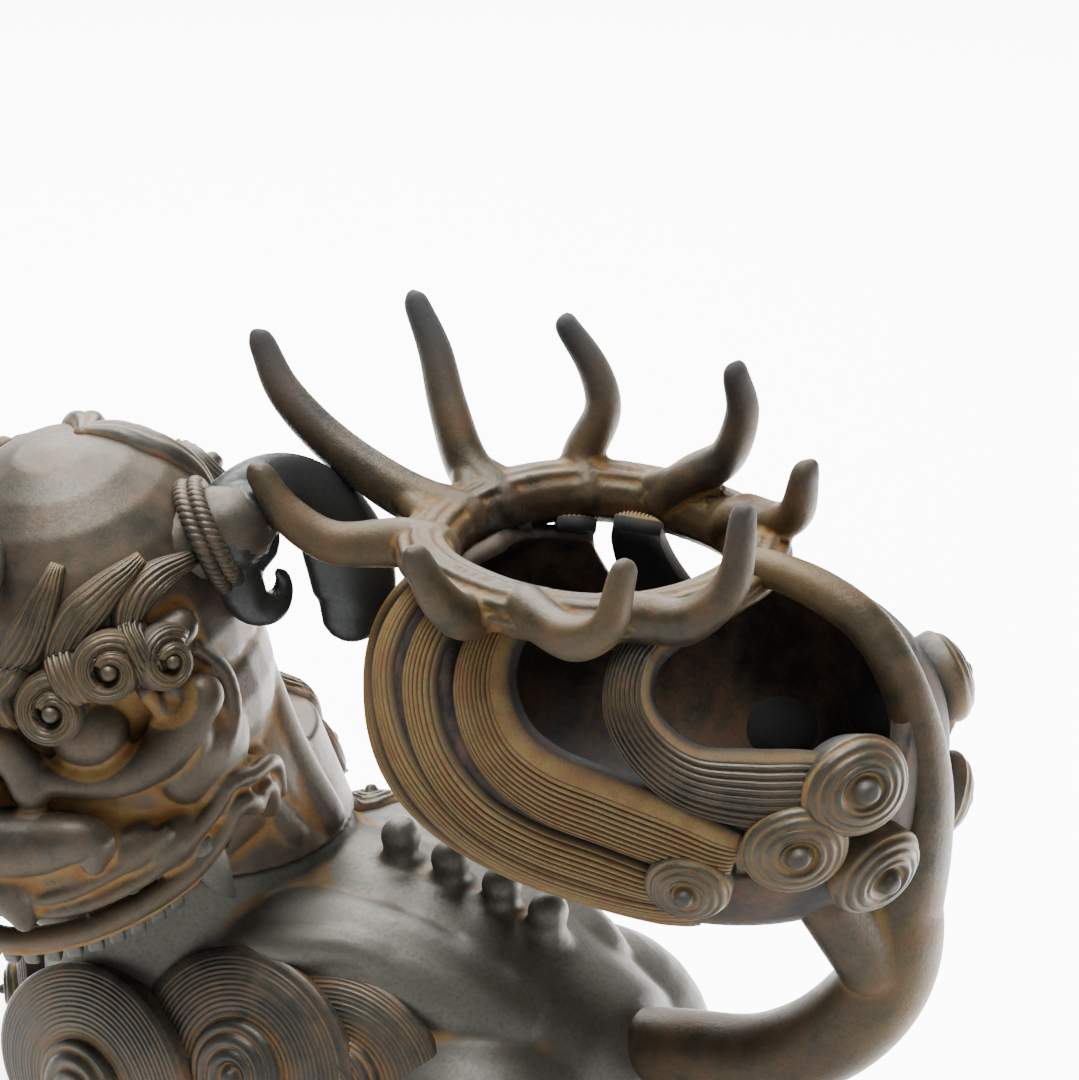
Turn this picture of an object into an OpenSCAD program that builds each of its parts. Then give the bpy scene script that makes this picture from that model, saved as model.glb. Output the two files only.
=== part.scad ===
// Foo dog censer in cast bronze: a standing lion, its head turned over its left shoulder and hinged at the
// neck, with an openwork tail that ends in a crown of flames. Millimetres. The lion walks towards -X, its
// left side is -Y, and it stands on the plane z = 0.

/* [Body] */
// Height of the middle of the trunk above the ground
trunk_z = 122; // [120:1:125]
// Half of the distance between the left and the right paws
half_track = 38; // [36:1:40]
// Length of a paw
paw_len = 44; // [40:1:46]
// Thickness of the cast walls
wall = 4; // [3.5:0.5:5]

/* [Head] */
// How far the head is turned from straight ahead, to its left
head_turn = 80; // [70:1:85]
// How far the nose is pitched down
head_pitch = 14; // [10:1:16]
// Half width of the skull
skull_r = 45; // [43:1:46]
// Height of the mouth's gap behind the teeth
mouth_gap = 12; // [11:1:13]

/* [Neck seat and hinge] */
// Inner radius of the seat ring
seat_r = 25; // [24:0.5:26]
// Height of the seat
seat_z = 168; // [167:1:169]
// Depth of the spigot in the seat ring
spigot_depth = 5; // [4:0.5:6]
// Clearance between the head and the seat, all round
seat_gap = 0.3; // [0.3:0.1:0.5]
// Radius of the hinge pin
hinge_pin_r = 1.5; // [1.2:0.1:2]

/* [Tail] */
// Radius of the crown's mouth
crown_r = 33; // [31:1:34]
// Thickness of the tail's stem
stem_d = 21; // [20:1:22]
// Radius of the tenon that holds the tail
tenon_r = 7; // [6:0.5:8]

/* [Hidden] */

origin_shift = [24.6, 15.7, 0];
neck = [-95, -8];
head_centre = [-107, -35, 231];
hinge_at = [-142, -8, 168];
crown_at = [15, 0, 264];
plume_at = [32, 0, 219];
plume_r = [73, 45, 47];
tail_root = [30, 0, 130];
tail_rise = 15;
ear_root = [15, -36, 24];
belly_at = [-50, 0, 80];
plate_t = 2.5;
plate_r = 23;
bronze = "#4a4238";
ochre = "#7d6238";
iron = "#5a4a3c";
copper = "#8a5436";

// ---------- curves and blobs ----------

function bend(a, b, c, t) = (1 - t) * (1 - t) * a + 2 * t * (1 - t) * b + t * t * c;
function mix(a, b, t) = a + (b - a) * t;
function signed_pow(v, e) = sign(v) * pow(abs(v), e);

module ellipsoid(p, r, fn = 20) {
    translate(p)
        scale(r)
            sphere(1, $fn = fn);
}

// A row of balls, each joined to the next by a hull. Each row of path is [x, y, z, radius].
module limb(path, fn = 12) {
    for (i = [0 : len(path) - 2])
        hull()
            for (q = [path[i], path[i + 1]])
                translate([q[0], q[1], q[2]])
                    sphere(q[3], $fn = fn);
}

// A row of ellipsoids joined in the same way. Each row is [x, y, z, rx, ry, rz].
module trunk(rows, thinner, fn = 22) {
    for (i = [0 : len(rows) - 2])
        hull()
            for (q = [rows[i], rows[i + 1]])
                ellipsoid([q[0], q[1], q[2]], [q[3] - thinner, q[4] - thinner, q[5] - thinner], fn);
}

module both_sides() {
    children();
    mirror([0, 1, 0])
        children();
}

module placed() {
    translate(origin_shift)
        children();
}

// The head's own frame: the nose points along -X and the left ear lies on the -Y side.
module on_head() {
    translate(head_centre)
        rotate([0, 0, head_turn])
            rotate([0, -head_pitch, 0])
                children();
}

// ---------- body ----------

right_front_stride = -7;
right_hind_stride = 7;
trunk_rows = [[-110, 0, trunk_z - 8, 34, 42, 46], [-86, 0, trunk_z + 2, 36, 41, 42],
    [-50, 0, trunk_z + 4, 40, 38, 40], [-5, 0, trunk_z - 4, 36, 40, 40]];
hollow_rows = [[-106, 0, trunk_z - 8, 34, 42, 44], [-86, 0, trunk_z + 2, 36, 41, 42],
    [-50, 0, trunk_z + 4, 40, 38, 40], [-14, 0, trunk_z - 4, 30, 38, 38]];

module paw(x, y) {
    limb([[x + paw_len / 2 - 14, y, 8, 12], [x - paw_len / 2 + 16, y, 8, 13]]);
    for (i = [0 : 3])
        ellipsoid([x - paw_len / 2 + 11, y + (i - 1.5) * 9, 5], [11, 5.4, 8], 8);
}

module front_leg(stride) {
    limb([[-98, -32, 104, 28], [-98 + stride / 2, -half_track, 68, 18], [-106 + stride, -half_track, 34, 13],
        [-104 + stride, -half_track, 14, 13]]);
    paw(-112 + stride, -half_track);
}

module hollow_front_leg(stride) {
    limb([[-98, -32, 104, 27 - wall], [-98 + stride / 2, -half_track, 68, 17 - wall],
        [-106 + stride, -half_track, 34, 12 - wall]], 10);
}

module hollow_hind_leg(stride) {
    limb([[-2, -26, 106, 32 - wall], [-12 + stride / 2, -half_track, 72, 19 - wall],
        [16 + stride, -half_track, 42, 11 - wall]], 10);
}

module hind_leg(stride) {
    limb([[0, -26, 106, 34], [-12 + stride / 2, -half_track, 72, 20], [16 + stride, -half_track, 42, 12],
        [12 + stride, -half_track, 14, 12.5]]);
    paw(4 + stride, -half_track);
}

module mane_discs() {
    for (q = [[-108, -38, 109, 28], [-64, -36, 123, 29], [-31, -34, 126, 28], [-122, -26, 138, 24]])
        ellipsoid([q[0], q[1], q[2]], [q[3], 15, q[3]], 14);
}

module spine_knobs() {
    for (q = [[-41, 170], [-26, 167.5], [-11, 164], [2.5, 160]])
        limb([[q[0], 0, q[1], 6], [q[0], 0, q[1] - 8, 7]], 10);
}

module sawn_flat_soles() {
    difference() {
        children();
        translate([-400, -400, -100])
            cube([800, 800, 100]);
    }
}

module along_tail_root() {
    translate(tail_root)
        rotate([0, 90 - tail_rise, 0])
            children();
}

module body_casting() {
    color(bronze)
        placed()
            difference() {
                sawn_flat_soles()
                    union() {
                        trunk(trunk_rows, 0);
                        translate([neck[0], neck[1], 132])
                            cylinder(r1 = 46, r2 = 37, h = seat_z - 132, $fn = 36);
                        both_sides()
                            mane_discs();
                        spine_knobs();
                        front_leg(0);
                        hind_leg(0);
                        mirror([0, 1, 0]) {
                            front_leg(right_front_stride);
                            hind_leg(right_hind_stride);
                        }
                        translate([belly_at[0], 0, belly_at[2]])
                            cylinder(r1 = plate_r + 1, r2 = plate_r + 6, h = 14, $fn = 40);
                        hull() {
                            ellipsoid([12, 0, 124], [14, 17, 17], 20);
                            along_tail_root()
                                translate([0, 0, -2])
                                    cylinder(r = stem_d / 2 + 0.5, h = 2, $fn = 28);
                        }
                    }
                trunk(hollow_rows, wall, 16);
                hollow_front_leg(0);
                hollow_hind_leg(0);
                mirror([0, 1, 0]) {
                    hollow_front_leg(right_front_stride);
                    hollow_hind_leg(right_hind_stride);
                }
                translate([neck[0], neck[1], seat_z - 34])
                    cylinder(r = seat_r + 2, h = 40, $fn = 40);
                translate([neck[0], neck[1], seat_z - 12])
                    cylinder(r = seat_r + 7, h = 20, $fn = 48);
                translate([belly_at[0], 0, belly_at[2] - 2])
                    cylinder(r = plate_r - 7, h = 20, $fn = 32);
                rivet_places()
                    translate([0, 0, belly_at[2] - 0.1])
                        cylinder(r = 1.5, h = 5.1, $fn = 16);
                along_tail_root()
                    translate([0, 0, -18])
                        cylinder(r = tenon_r + 0.1, h = 20, $fn = 28);
                tail_pin_shape(0, 4);
                hinge_notch();
            }
}

module rivet_places() {
    for (a = [45 : 90 : 315])
        translate([belly_at[0] + (plate_r - 3.5) * cos(a), (plate_r - 3.5) * sin(a), 0])
            children();
}

module belly_plate() {
    color(ochre)
        placed()
            difference() {
                translate([belly_at[0], 0, belly_at[2] - plate_t])
                    cylinder(r = plate_r, h = plate_t, $fn = 96);
                rivet_places()
                    translate([0, 0, belly_at[2] - 10])
                        cylinder(r = 1.5, h = 20, $fn = 24);
            }
}

module belly_plate_rivets() {
    color(iron)
        placed()
            rivet_places()
                translate([0, 0, belly_at[2] - plate_t])
                    union() {
                        cylinder(r = 1.5, h = plate_t + 4.5, $fn = 24);
                        difference() {
                            sphere(2.8, $fn = 32);
                            cylinder(r = 6, h = 6, $fn = 24);
                        }
                    }
}

// ---------- neck seat, liner and hinge ----------

module seat_ring() {
    color(bronze)
        placed()
            translate([neck[0], neck[1], seat_z])
                rotate_extrude($fn = 96)
                    polygon([[seat_r, 0], [seat_r + 7, 0], [seat_r + 7, -12], [seat_r - 3, -12],
                        [seat_r - 3, -10], [seat_r, -10]]);
}

// The liner hangs by its rim from the seat ring's ledge.
module ash_liner() {
    color(copper)
        placed()
            translate([neck[0], neck[1], seat_z - 10])
                rotate_extrude($fn = 96)
                    polygon([[0, -40], [17, -40], [21.6, -30], [21.6, 0], [seat_r - 0.4, 0], [seat_r - 0.4, 1.2],
                        [20.6, 1.2], [20.6, -29.6], [16.5, -39], [0, -39]]);
}

// Two knuckles on the neck with the arm's knuckle between them, all on one pin along Y.
module hinge_knuckles(starts, width) {
    for (y = starts)
        translate([hinge_at[0], hinge_at[1] + y, hinge_at[2]])
            rotate([-90, 0, 0])
                cylinder(r = 4.2, h = width, $fn = 48);
}

module hinge_bore(r) {
    translate([hinge_at[0], hinge_at[1] - 12, hinge_at[2]])
        rotate([-90, 0, 0])
            cylinder(r = r, h = 24, $fn = 48);
}

// Room in the neck's rim for the hinge's three knuckles.
module hinge_notch() {
    translate([hinge_at[0] - 12, hinge_at[1] - 12.5, hinge_at[2] - 5])
        cube([17, 25, 20]);
}

module hinge_bracket() {
    color(iron)
        placed()
            difference() {
                union() {
                    hinge_knuckles([-11, 5], 6);
                    for (y = [-11, 5])
                        translate([hinge_at[0], hinge_at[1] + y, hinge_at[2] - 4.2])
                            cube([7, 6, 4.2]);
                    translate([hinge_at[0] + 5, hinge_at[1] - 11, hinge_at[2] - 14])
                        cube([3, 22, 13.5]);
                }
                hinge_bore(hinge_pin_r);
            }
}

module hinge_arm() {
    color(iron)
        placed()
            difference() {
                union() {
                    hinge_knuckles([-4.7], 9.4);
                    translate([hinge_at[0], hinge_at[1] - 4.7, hinge_at[2] + 0.6])
                        cube([14, 9.4, 3.6]);
                }
                hinge_bore(hinge_pin_r + 0.05);
            }
}

module hinge_pin() {
    color(iron)
        placed()
            translate([hinge_at[0], hinge_at[1] - 11, hinge_at[2]])
                rotate([-90, 0, 0])
                    cylinder(r = hinge_pin_r, h = 22, $fn = 48);
}

// ---------- tail ----------

// A rounded box: a superellipsoid at longitude a and latitude b, scaled by s about its middle.
function plume_point(a, b, s) = [plume_at[0] + s * plume_r[0] * signed_pow(cos(b), 0.8) * signed_pow(cos(a), 0.8),
    s * plume_r[1] * signed_pow(cos(b), 0.8) * signed_pow(sin(a), 0.8),
    plume_at[2] + s * plume_r[2] * signed_pow(sin(b), 0.8)];

module plume_blob(s, around = 28, rings = 12) {
    points = concat([plume_point(0, -90, s)],
        [for (j = [1 : rings - 1], i = [0 : around - 1]) plume_point(360 * i / around, -90 + 180 * j / rings, s)],
        [plume_point(0, 90, s)]);
    top = len(points) - 1;
    faces = concat([for (i = [0 : around - 1]) [0, 1 + i, 1 + (i + 1) % around]],
        [for (j = [0 : rings - 3], i = [0 : around - 1]) [1 + j * around + i, 1 + (j + 1) * around + i,
            1 + (j + 1) * around + (i + 1) % around, 1 + j * around + (i + 1) % around]],
        [for (i = [0 : around - 1]) [top, top - around + (i + 1) % around, top - around + i]]);
    polyhedron(points, faces, convexity = 4);
}

// The two windows between the locks on each side: corners on the plume's surface, widened outwards from
// a point near its middle.
window_low = [[19, -38, 250], [24, -36, 253], [36, -39, 247], [48, -42, 239], [57, -43, 232], [51, -44, 229],
    [41, -44, 230], [31, -44, 234], [22, -41, 242]];
window_high = [[42, -30, 258], [54, -37, 250], [62, -38, 245], [76, -32, 246], [90, -22, 244], [98, -9, 243],
    [90, -5, 253], [77, -5, 262], [56, -8, 266]];

module windows() {
    middle = [plume_at[0] + 10, 0, plume_at[2]];
    for (w = [window_low, window_high])
        hull() {
            translate(middle)
                cube(1);
            for (q = w)
                translate(middle + 1.3 * (q - middle))
                    cube(1);
        }
}

// Root direction, middle and tip of each flame of the crown: [angle, middle, tip].
flames = [[177, [-56, 0, 276], [-78, 1, 298]], [157, [-42, 22, 280], [-52, 29, 303]],
    [122, [-6, 40, 280], [-14, 40, 300]], [92, [30, 38, 272], [34, 35, 298]], [57, [57, 22, 269], [62, 15, 285]],
    [207, [-47, -31, 263], [-58, -31, 276]], [255, [8, -55, 264], [3, -60, 279]],
    [272, [48, -54, 266], [50, -50, 283]], [306, [66, -31, 268], [68, -30, 294]]];

module flame(f) {
    root = [crown_at[0] + (crown_r + 6) * cos(f[0]), (crown_r + 6) * sin(f[0]), crown_at[2] - 1];
    steps = 4;
    for (i = [0 : steps - 1])
        hull()
            for (t = [i / steps, (i + 1) / steps])
                translate(bend(root, 2 * f[1] - (root + f[2]) / 2, f[2], t))
                    sphere(mix(6, 4.2, t), $fn = 8);
}

stem = [[43, 134], [56, 136], [66, 140], [78, 147], [88, 157], [95, 168], [98, 180], [98, 192], [95, 204]];
band = [[60, 268, 4.5], [72, 267, 4.5], [86, 260, 4.5], [95, 249, 5], [101, 236, 6], [102, 220, 8], [98, 206, 10]];

module tail_casting() {
    color(ochre)
        placed()
            difference() {
                union() {
                    difference() {
                        plume_blob(1);
                        plume_blob(0.9);
                        both_sides()
                            windows();
                        translate([crown_at[0], 0, 250])
                            cylinder(r = crown_r, h = 40, $fn = 32);
                    }
                    translate([crown_at[0], 0, crown_at[2]])
                        rotate_extrude($fn = 40)
                            polygon([[crown_r, -8], [crown_r + 7, -9], [crown_r + 13, 0], [crown_r + 12, 3],
                                [crown_r + 1, 3]]);
                    for (f = flames)
                        flame(f);
                    limb([for (q = stem) [q[0], 0, q[1], stem_d / 2]]);
                    limb([for (q = band) [q[0], 0, q[1], q[2]]], 10);
                    both_sides()
                        for (q = [[88, -20, 216, 11], [74, -32, 206, 10], [55, -33, 196, 9], [86, -18, 200, 9]])
                            ellipsoid([q[0], q[1], q[2]], [q[3], 10, q[3]], 10);
                    hull() {
                        along_tail_root()
                            cylinder(r = stem_d / 2, h = 2, $fn = 28);
                        translate([stem[0][0], 0, stem[0][1]])
                            sphere(stem_d / 2, $fn = 14);
                    }
                    along_tail_root()
                        translate([0, 0, -16])
                            cylinder(r = tenon_r, h = 20, $fn = 28);
                }
                tail_pin_shape(0, 4);
                along_tail_root()
                    translate([0, 0, -60])
                        difference() {
                            cylinder(r = 40, h = 60, $fn = 24);
                            translate([0, 0, -1])
                                cylinder(r = tenon_r + 0.02, h = 70, $fn = 28);
                        }
            }
}

module tail_pin_shape(thicker, longer) {
    translate([21, -9, 127.6])
        rotate([-90, 0, 0])
            cylinder(r = 2 + thicker, h = 32 + longer, $fn = 32);
}

module tail_tenon_pin() {
    color(iron)
        placed()
            tail_pin_shape(0, 0);
}

// ---------- head ----------

module skull_rows(thinner) {
    hull() {
        ellipsoid([0, 0, 2], [45 - thinner, skull_r - thinner, 44 - thinner], 22);
        ellipsoid([10, 0, -18], [36 - thinner, skull_r - thinner, 40 - thinner], 18);
    }
    hull() {
        ellipsoid([-20, 0, -26], [34 - thinner, 40 - thinner, 22 - thinner], 18);
        ellipsoid([8, 0, -30], [30 - thinner, 46 - thinner, 22 - thinner], 18);
    }
}

module upper_jaw() {
    hull() {
        ellipsoid([-44, 0, -32], [18, 22, 13], 16);
        ellipsoid([-14, 0, -36], [18, 44, 13], 16);
    }
    hull() {
        ellipsoid([-52, 0, -24], [12, 15, 11], 14);
        ellipsoid([-36, 0, -12], [10, 10, 10], 14);
    }
    both_sides() {
        ellipsoid([-52, -13, -27], [9, 9, 8], 12);
        limb([[-22, -40, -44, 5], [-23, -41, -56, 2]], 10);
    }
    hull()
        for (q = [[-48, 0], [-36, -24], [-36, 24], [-18, -38], [-18, 38]])
            translate([q[0], q[1], -50])
                cylinder(r = 3, h = 12, $fn = 10);
}

module lower_jaw() {
    hull() {
        ellipsoid([-30, 0, -53 - mouth_gap], [10, 18, 5], 14);
        ellipsoid([-6, 0, -55 - mouth_gap], [14, 26, 6], 14);
    }
    hull() {
        ellipsoid([-6, 0, -55 - mouth_gap], [12, 24, 6], 14);
        ellipsoid([12, 0, -52], [14, 26, 12], 14);
    }
    both_sides()
        limb([[-4, -35, -38, 9], [-12, -30, -54 - mouth_gap / 2, 7], [-24, -20, -54 - mouth_gap, 5.5]], 10);
}

module brow_curls() {
    for (q = [[-38, -14, -1, 10], [-36, -24, 6, 9], [-27, -34, 9, 9], [-16, -41, 10, 9]])
        ellipsoid([q[0], q[1], q[2]], [q[3], q[3], q[3]], 12);
    ellipsoid([-33, -22, -9], [12, 11, 10], 12);
}

// Curls of the ruff, in a ring round the neck above the seat.
module ruff_curls() {
    for (a = [-75 : 30 : 165])
        if (abs(a - 45) > 0)
            translate([neck[0] + 32 * cos(a), neck[1] + 32 * sin(a), seat_z + 14])
                scale([1, 1, 1.1])
                    sphere(12, $fn = 12);
}

module head_casting() {
    color(bronze)
        placed()
            difference() {
                union() {
                    on_head() {
                        skull_rows(0);
                        upper_jaw();
                        lower_jaw();
                        both_sides()
                            brow_curls();
                        both_sides()
                            ear_collar();
                    }
                    hull() {
                        on_head()
                            ellipsoid([12, 0, -26], [30, 40, 30], 18);
                        translate([neck[0], neck[1], seat_z + seat_gap])
                            cylinder(r = 38, h = 14, $fn = 36);
                    }
                    ruff_curls();
                }
                on_head()
                    skull_rows(wall + 1);
                hull() {
                    on_head()
                        ellipsoid([12, 0, -26], [22, 30, 22], 18);
                    translate([neck[0], neck[1], seat_z + 4])
                        cylinder(r = seat_r - 4, h = 14, $fn = 36);
                }
                translate([neck[0], neck[1], seat_z - 30])
                    cylinder(r = seat_r + 5, h = 30 + 4 + seat_gap, $fn = 48);
                translate([neck[0], neck[1], seat_z - 40])
                    cylinder(r1 = 50, r2 = 39.5, h = 40 + seat_gap, $fn = 36);
                on_head()
                    mouth();
                both_ears() {
                    ear_hole();
                    ear_pin_shape();
                }
                hinge_slot();
            }
}

// The way in between the jaws, through to the hollow of the head.
module mouth() {
    hull()
        for (q = [[-70, 15], [-20, 22], [0, 20]])
            for (side = [-1, 1])
                translate([q[0], side * q[1], -50 - mouth_gap / 2])
                    cube([1, 1, mouth_gap - 2], center = true);
}

module hinge_slot() {
    translate([hinge_at[0] - 12, hinge_at[1] - 12.5, hinge_at[2] - 10])
        cube([17, 25, 15]);
    translate([hinge_at[0] - 1, hinge_at[1] - 4.7, hinge_at[2] - 1])
        cube([15, 9.4, 5.2]);
}

module spigot_ring() {
    color(bronze)
        placed()
            translate([neck[0], neck[1], seat_z + seat_gap])
                rotate_extrude($fn = 96)
                    polygon([[seat_r - 4, -spigot_depth], [seat_r - seat_gap - 0.4, -spigot_depth],
                        [seat_r - seat_gap, -spigot_depth + 1], [seat_r - seat_gap, 0], [seat_r + 5, 0],
                        [seat_r + 5, 4], [seat_r - 4, 4]]);
}

// ---------- ears ----------

module both_ears() {
    on_head()
        both_sides()
            children();
}

module ear_collar() {
    limb([[ear_root[0] - 8, ear_root[1] + 8, ear_root[2] - 3, 14], [ear_root[0], ear_root[1], ear_root[2], 14]], 16);
}

module along_ear(d) {
    translate(ear_root)
        rotate([0, 63, -47])
            translate([0, 0, d])
                children();
}

module ear_hole() {
    along_ear(-12)
        cylinder(r = 6.1, h = 40, $fn = 24);
    along_ear(8)
        cylinder(r = 22, h = 40, $fn = 24);
}

// Middle and half width of each station of the ear, from its root to the tip of its flap.
ear_rows = [[28, -36, 27, 7], [36, -39, 24, 6.5], [42, -46, 17, 7], [44, -51, 8, 8], [41, -54, -1, 8.5],
    [35, -54, -8, 6.5], [31, -53, -13, 3.5]];

module ear() {
    difference() {
        union() {
            along_ear(-10)
                cylinder(r = 6, h = 20, $fn = 24);
            difference() {
                union() {
                    hull() {
                        along_ear(8)
                            cylinder(r = 10.5, h = 1, $fn = 24);
                        ear_station(ear_rows[0]);
                    }
                    for (i = [0 : 5])
                        hull() {
                            ear_station(ear_rows[i]);
                            ear_station(ear_rows[i + 1]);
                        }
                }
                along_ear(-32)
                    cylinder(r = 24, h = 40, $fn = 24);
            }
        }
        ear_pin_shape();
    }
}

module ear_station(q) {
    translate([q[0], q[1], q[2]])
        rotate([-30, 0, -33])
            scale([q[3], 4.5, q[3]])
                sphere(1, $fn = 12);
}

module ear_pin_shape() {
    translate([ear_root[0] - 3, ear_root[1], ear_root[2] - 12])
        cylinder(r = 1.5, h = 24, $fn = 32);
}

module left_ear() {
    color(iron)
        placed()
            on_head()
                ear();
}

module right_ear() {
    color(iron)
        placed()
            on_head()
                mirror([0, 1, 0])
                    ear();
}

module left_ear_pin() {
    color(copper)
        placed()
            on_head()
                ear_pin_shape();
}

module right_ear_pin() {
    color(copper)
        placed()
            on_head()
                mirror([0, 1, 0])
                    ear_pin_shape();
}

body_casting();
belly_plate();
belly_plate_rivets();
seat_ring();
ash_liner();
hinge_bracket();
hinge_pin();
tail_casting();
tail_tenon_pin();
head_casting();
spigot_ring();
hinge_arm();
left_ear();
right_ear();
left_ear_pin();
right_ear_pin();
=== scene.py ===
import math
import bpy
import numpy as np
from mathutils import Matrix, Vector
from mathutils.bvhtree import BVHTree


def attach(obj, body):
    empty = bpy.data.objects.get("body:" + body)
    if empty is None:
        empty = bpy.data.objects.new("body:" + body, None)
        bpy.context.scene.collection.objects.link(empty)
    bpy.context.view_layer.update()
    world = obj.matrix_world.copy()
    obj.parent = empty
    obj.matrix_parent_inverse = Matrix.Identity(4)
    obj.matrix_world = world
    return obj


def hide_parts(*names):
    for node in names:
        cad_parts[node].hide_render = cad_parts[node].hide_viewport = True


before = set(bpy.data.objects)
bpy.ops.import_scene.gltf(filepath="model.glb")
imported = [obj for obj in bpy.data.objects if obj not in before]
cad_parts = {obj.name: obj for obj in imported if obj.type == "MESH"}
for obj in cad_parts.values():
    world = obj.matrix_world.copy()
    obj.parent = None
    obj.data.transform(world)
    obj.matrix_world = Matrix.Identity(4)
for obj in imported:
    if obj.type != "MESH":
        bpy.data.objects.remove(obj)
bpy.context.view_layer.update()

# The figure is shaped in millimetres about its own workshop zero, a point on the ground between the paws, and
# each finished piece is then put into the frame, in metres. The lion walks towards -X, its left side is -Y.
MM = 0.001
WORKSHOP_ZERO = Vector((24.6, 15.7, 0.0))
TO_FRAME = Matrix.Diagonal((MM, MM, MM, 1.0)) @ Matrix.Translation(WORKSHOP_ZERO)
HEAD_CENTRE = Vector((-107.0, -35.0, 231.0))
HEAD_TURN = math.radians(80)
HEAD_NOD = math.radians(-14)
HEAD = (Matrix.Translation(HEAD_CENTRE) @ Matrix.Rotation(HEAD_TURN, 4, "Z")
        @ Matrix.Rotation(HEAD_NOD, 4, "Y"))
NECK = (-95.0, -8.0)
BODY = "lion_body"
COVER = "head_cover"


# ---------- workshop tools ----------

def deselect():
    bpy.ops.object.select_all(action="DESELECT")


def pick(*objects):
    deselect()
    for obj in objects:
        obj.select_set(True)
    bpy.context.view_layer.objects.active = objects[0]


def modify(obj, kind, **settings):
    """Adds a modifier and applies it."""
    pick(obj)
    tool = obj.modifiers.new(kind.lower(), kind)
    for key, value in settings.items():
        setattr(tool, key, value)
    bpy.ops.object.modifier_apply(modifier=tool.name)
    return obj


def mesh_from(name, points, faces):
    mesh = bpy.data.meshes.new(name)
    mesh.from_pydata([tuple(p) for p in points], [], faces)
    obj = bpy.data.objects.new(name, mesh)
    bpy.context.scene.collection.objects.link(obj)
    return obj


def coords(obj):
    flat = np.empty(len(obj.data.vertices) * 3)
    obj.data.vertices.foreach_get("co", flat)
    return flat.reshape(-1, 3)


def normals(obj):
    flat = np.empty(len(obj.data.vertices) * 3)
    obj.data.vertex_normals.foreach_get("vector", flat)
    return flat.reshape(-1, 3)


def move_points(obj, points):
    obj.data.vertices.foreach_set("co", np.asarray(points, float).ravel())
    obj.data.update()


def write_recess(obj, values):
    """Stores how deep in a recess each point lies, 0 on a ridge and 1 in a groove."""
    layer = obj.data.attributes.get("recess") or obj.data.attributes.new("recess", "FLOAT", "POINT")
    layer.data.foreach_set("value", np.clip(np.asarray(values, float), 0, 1).ravel())


def write_shade_and_darkening(obj, values):
    """Stores how dark each point is painted, 0 for none and 1 for near black: painted shade in crevices,
    grooves and undersides, and plain darkening elsewhere.
    """
    layer = obj.data.attributes.get("shade_and_darkening") or obj.data.attributes.new("shade_and_darkening", "FLOAT", "POINT")
    layer.data.foreach_set("value", np.clip(np.asarray(values, float), 0, 1).ravel())


def relaxed(obj, rounds):
    """The mesh's points after some rounds of averaging with their neighbours."""
    edges = np.empty(len(obj.data.edges) * 2, dtype=np.int64)
    obj.data.edges.foreach_get("vertices", edges)
    edges = edges.reshape(-1, 2)
    points = coords(obj)
    count = len(points)
    ends = np.concatenate([edges[:, 0], edges[:, 1]])
    others = np.concatenate([edges[:, 1], edges[:, 0]])
    degree = np.maximum(np.bincount(ends, minlength=count), 1)
    for _ in range(rounds):
        sums = [np.bincount(ends, points[others, k], minlength=count) for k in range(3)]
        points = np.stack(sums, 1) / degree[:, None]
    return points


def recess_from_shape(obj, rounds=14, depth=0.35):
    """Marks the hollows of a shape, from how far each point lies under the relaxed surface."""
    sunk = np.einsum("ij,ij->i", relaxed(obj, rounds) - coords(obj), normals(obj))
    write_recess(obj, 0.35 + 0.5 * sunk / depth)
    return obj


def ball(centre, radii, detail=28):
    radii = (radii, radii, radii) if np.isscalar(radii) else radii
    deselect()
    bpy.ops.mesh.primitive_uv_sphere_add(segments=detail, ring_count=detail // 2, location=centre)
    obj = bpy.context.object
    obj.scale = radii
    bpy.ops.object.transform_apply(location=True, rotation=True, scale=True)
    return obj


def cone(centre, low_radius, high_radius, height):
    deselect()
    bpy.ops.mesh.primitive_cone_add(vertices=48, radius1=low_radius, radius2=high_radius, depth=height,
                                    location=centre)
    bpy.ops.object.transform_apply(location=True, rotation=True, scale=True)
    return bpy.context.object


def flow(points, count):
    """A smooth run of count points through the given ones, evenly spaced along the way."""
    p = np.asarray(points, float)
    ends = np.vstack([2 * p[0] - p[1], p, 2 * p[-1] - p[-2]])
    fine = []
    for i in range(len(p) - 1):
        a, b, c, d = ends[i:i + 4]
        t = np.linspace(0, 1, 24, endpoint=False)[:, None]
        fine.append(0.5 * (2 * b + (c - a) * t + (2 * a - 5 * b + 4 * c - d) * t ** 2
                           + (3 * b - a - 3 * c + d) * t ** 3))
    fine = np.vstack(fine + [p[-1:]])
    steps = np.linalg.norm(np.diff(fine[:, :3], axis=0), axis=1)
    along = np.concatenate([[0], np.cumsum(steps)])
    want = np.linspace(0, along[-1], count)
    return np.stack([np.interp(want, along, fine[:, k]) for k in range(p.shape[1])], 1)


def unit_rows(v):
    return v / np.maximum(np.linalg.norm(v, axis=1, keepdims=True), 1e-9)


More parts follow.
